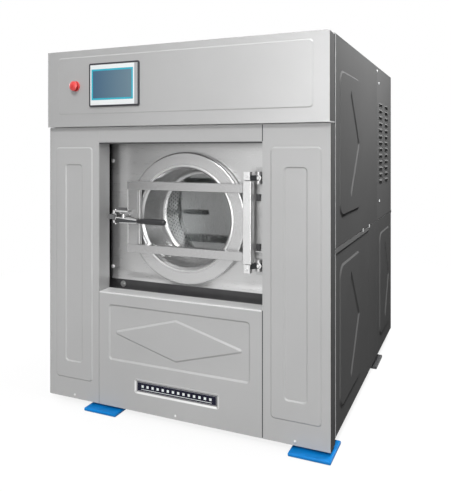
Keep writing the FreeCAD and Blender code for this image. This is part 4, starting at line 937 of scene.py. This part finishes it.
# Air springs: two rolled rubber lobes each, alike above and below the waist between them. The lower lobe
# is given in radius and per cent of the height.
LOBE_RADIUS = 82
WAIST = (62, 50)
LOWER_LOBE = ((70, 0), (70, 6), (74, 9), (80, 15), (LOBE_RADIUS, 22), (LOBE_RADIUS, 28), (80, 35), (74, 42),
              (64, 48))
UPPER_LOBE = tuple((r, 100 - level) for r, level in reversed(LOWER_LOBE))
BELLOWS_STEPS = 40
(ax0, ay0, az0), (ax1, ay1, az1) = node_box("air_springs")
bellows = Shape()
for x in (ax0 + LOBE_RADIUS, ax1 - LOBE_RADIUS):
    for y in (ay0 + LOBE_RADIUS, ay1 - LOBE_RADIUS):
        bellows.loft([circle((x, y, 0.0), (0, 0, 1), r, az0 + level / 100 * (az1 - az0), BELLOWS_STEPS)
                      for r, level in LOWER_LOBE + (WAIST,) + UPPER_LOBE])
springs = bellows.make("air_spring_bellows", "cabinet", "black_rubber", finish["black_rubber"])
springs.data.shade_smooth()
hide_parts("air_springs")
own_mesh(springs)

# Floor, light and camera, in metres


def floor_finish():
    """White where it is seen, with the shadow kept; a dark grey to the light that bounces from it."""
    mat = bpy.data.materials.new("studio_floor")
    mat.use_nodes = True
    tree = mat.node_tree
    tree.nodes.remove(tree.nodes["Principled BSDF"])
    bounce = add_node(tree, "ShaderNodeBsdfDiffuse", Color=(0.08, 0.08, 0.08, 1.0))
    seen = add_node(tree, "ShaderNodeBsdfDiffuse", Color=(0.9, 0.9, 0.9, 1.0))
    white = add_node(tree, "ShaderNodeEmission", Color=(1.0, 1.0, 1.0, 1.0), Strength=1.0)
    coords = add_node(tree, "ShaderNodeTexCoord")
    reach = add_node(tree, "ShaderNodeVectorMath", operation="LENGTH")
    fade = add_node(tree, "ShaderNodeMapRange")
    fade.inputs["From Min"].default_value = 1.2
    fade.inputs["From Max"].default_value = 3.2
    fade.inputs["To Min"].default_value = 0.84
    fade.inputs["To Max"].default_value = 1.0
    lit = add_node(tree, "ShaderNodeMixShader")
    pick = add_node(tree, "ShaderNodeMixShader")
    tree.links.new(coords.outputs["Object"], reach.inputs[0])
    tree.links.new(reach.outputs["Value"], fade.inputs["Value"])
    tree.links.new(fade.outputs["Result"], lit.inputs["Fac"])
    tree.links.new(seen.outputs["BSDF"], lit.inputs[1])
    tree.links.new(white.outputs["Emission"], lit.inputs[2])
    tree.links.new(seen_ray(tree), pick.inputs["Fac"])
    tree.links.new(bounce.outputs["BSDF"], pick.inputs[1])
    tree.links.new(lit.outputs["Shader"], pick.inputs[2])
    tree.links.new(pick.outputs["Shader"], tree.nodes["Material Output"].inputs["Surface"])
    return mat


def seen_ray(tree):
    """A socket that is 1 for rays by which the background is seen: straight, mirrored or through glass."""
    path = add_node(tree, "ShaderNodeLightPath")
    first = add_node(tree, "ShaderNodeMath", operation="MAXIMUM")
    second = add_node(tree, "ShaderNodeMath", operation="MAXIMUM")
    tree.links.new(path.outputs["Is Camera Ray"], first.inputs[0])
    tree.links.new(path.outputs["Is Glossy Ray"], first.inputs[1])
    tree.links.new(first.outputs["Value"], second.inputs[0])
    tree.links.new(path.outputs["Is Transmission Ray"], second.inputs[1])
    return second.outputs["Value"]


FLOOR = 30
floor_mesh = bpy.data.meshes.new("studio_floor")
floor_mesh.from_pydata([(-FLOOR, -FLOOR, 0), (FLOOR, -FLOOR, 0), (FLOOR, FLOOR, 0), (-FLOOR, FLOOR, 0)], [],
                       [[0, 1, 2, 3]])
floor_mesh.materials.append(floor_finish())
floor = bpy.data.objects.new("studio_floor", floor_mesh)
floor.location = (0, 0, -0.0005)
bpy.context.scene.collection.objects.link(floor)

# A grey screen at the front left, seen in the polished steel only: a strip on the floor and an upright.
SCREEN_LEFT = -9
SCREEN_RIGHT = -3.2
SCREEN_NEAR = -3.4
SCREEN_FAR = -5.6
SCREEN_TOP = 4
SCREEN_FOOT = 0.002
screen_mesh = bpy.data.meshes.new("studio_screen")
screen_mesh.from_pydata([(SCREEN_LEFT, SCREEN_NEAR, SCREEN_FOOT), (SCREEN_RIGHT, SCREEN_NEAR, SCREEN_FOOT),
                         (SCREEN_RIGHT, SCREEN_FAR, SCREEN_FOOT), (SCREEN_LEFT, SCREEN_FAR, SCREEN_FOOT),
                         (SCREEN_RIGHT, SCREEN_FAR, SCREEN_TOP), (SCREEN_LEFT, SCREEN_FAR, SCREEN_TOP)],
                        [], [[0, 1, 2, 3], [3, 2, 4, 5]])
screen_finish = surface("studio_screen", grey(0.16), roughness=0.9, vary=0.03, patch=1.0, fine=40.0)
screen_mesh.materials.append(screen_finish)
screen = bpy.data.objects.new("studio_screen", screen_mesh)
screen.visible_camera = False
screen.visible_shadow = False
bpy.context.scene.collection.objects.link(screen)

world = bpy.data.worlds.new("studio")
bpy.context.scene.world = world
world.use_nodes = True
tree = world.node_tree
tree.nodes.clear()
sky = add_node(tree, "ShaderNodeBackground", Color=(1.0, 1.0, 1.0, 1.0), Strength=0.10)
white = add_node(tree, "ShaderNodeBackground", Color=(1.0, 1.0, 1.0, 1.0), Strength=1.0)
choose = add_node(tree, "ShaderNodeMixShader")
output = add_node(tree, "ShaderNodeOutputWorld")
tree.links.new(seen_ray(tree), choose.inputs["Fac"])
tree.links.new(sky.outputs["Background"], choose.inputs[1])
tree.links.new(white.outputs["Background"], choose.inputs[2])
tree.links.new(choose.outputs["Shader"], output.inputs["Surface"])


def softbox(name, place, target, size, watts):
    """A rectangular lamp that looks at target."""
    lamp = bpy.data.lights.new(name, "AREA")
    lamp.shape = "RECTANGLE"
    lamp.size = size[0]
    lamp.size_y = size[1]
    lamp.energy = watts
    obj = bpy.data.objects.new(name, lamp)
    obj.location = place
    obj.rotation_euler = (Vector(target) - Vector(place)).to_track_quat("-Z", "Y").to_euler()
    bpy.context.scene.collection.objects.link(obj)


softbox("key_front", place=(0.1, -5.0, 2.2), target=(0.0, -0.8, 0.8), size=(1.8, 1.5), watts=38)
softbox("key_low", place=(0.6, -5.0, 0.6), target=(0.0, -0.8, 0.6), size=(1.0, 1.0), watts=40)
softbox("key_right", place=(4.2, -7.4, 2.4), target=(0.0, -0.8, 0.7), size=(2.0, 2.0), watts=72)
softbox("key_high", place=(2.4, -8.8, 9.6), target=(0.0, -0.75, 0.6), size=(4.0, 3.2), watts=950)
softbox("overhead", place=(0.0, -1.6, 4.0), target=(0.0, -0.75, 0.7), size=(1.8, 0.9), watts=10)
softbox("side_top", place=(1.35, -0.1, 2.7), target=(0.69, 0.0, 1.3), size=(2.0, 0.4), watts=66)
softbox("fill_left", place=(-4.4, 0.4, 2.4), target=(-0.69, 0.05, 0.9), size=(2.5, 2.0), watts=122)
softbox("fill_back", place=(0.2, 5.0, 2.6), target=(0.0, 0.75, 0.9), size=(2.5, 2.0), watts=140)

# Camera at the photograph's viewing angle: level, with the shift that its framing needs.
camera = bpy.data.cameras.new("camera")
camera.sensor_width = 36.0
camera.sensor_fit = "AUTO"
camera.lens = 40.43
camera.shift_x = -0.0498
camera.shift_y = -0.1955
view = bpy.data.objects.new("camera", camera)
view.location = (1.22266, -2.89861, 1.20054)
view.rotation_euler = (math.radians(90.0), 0.0, 0.3945)
bpy.context.scene.collection.objects.link(view)
bpy.context.scene.camera = view
bpy.context.scene.view_settings.view_transform = "Standard"
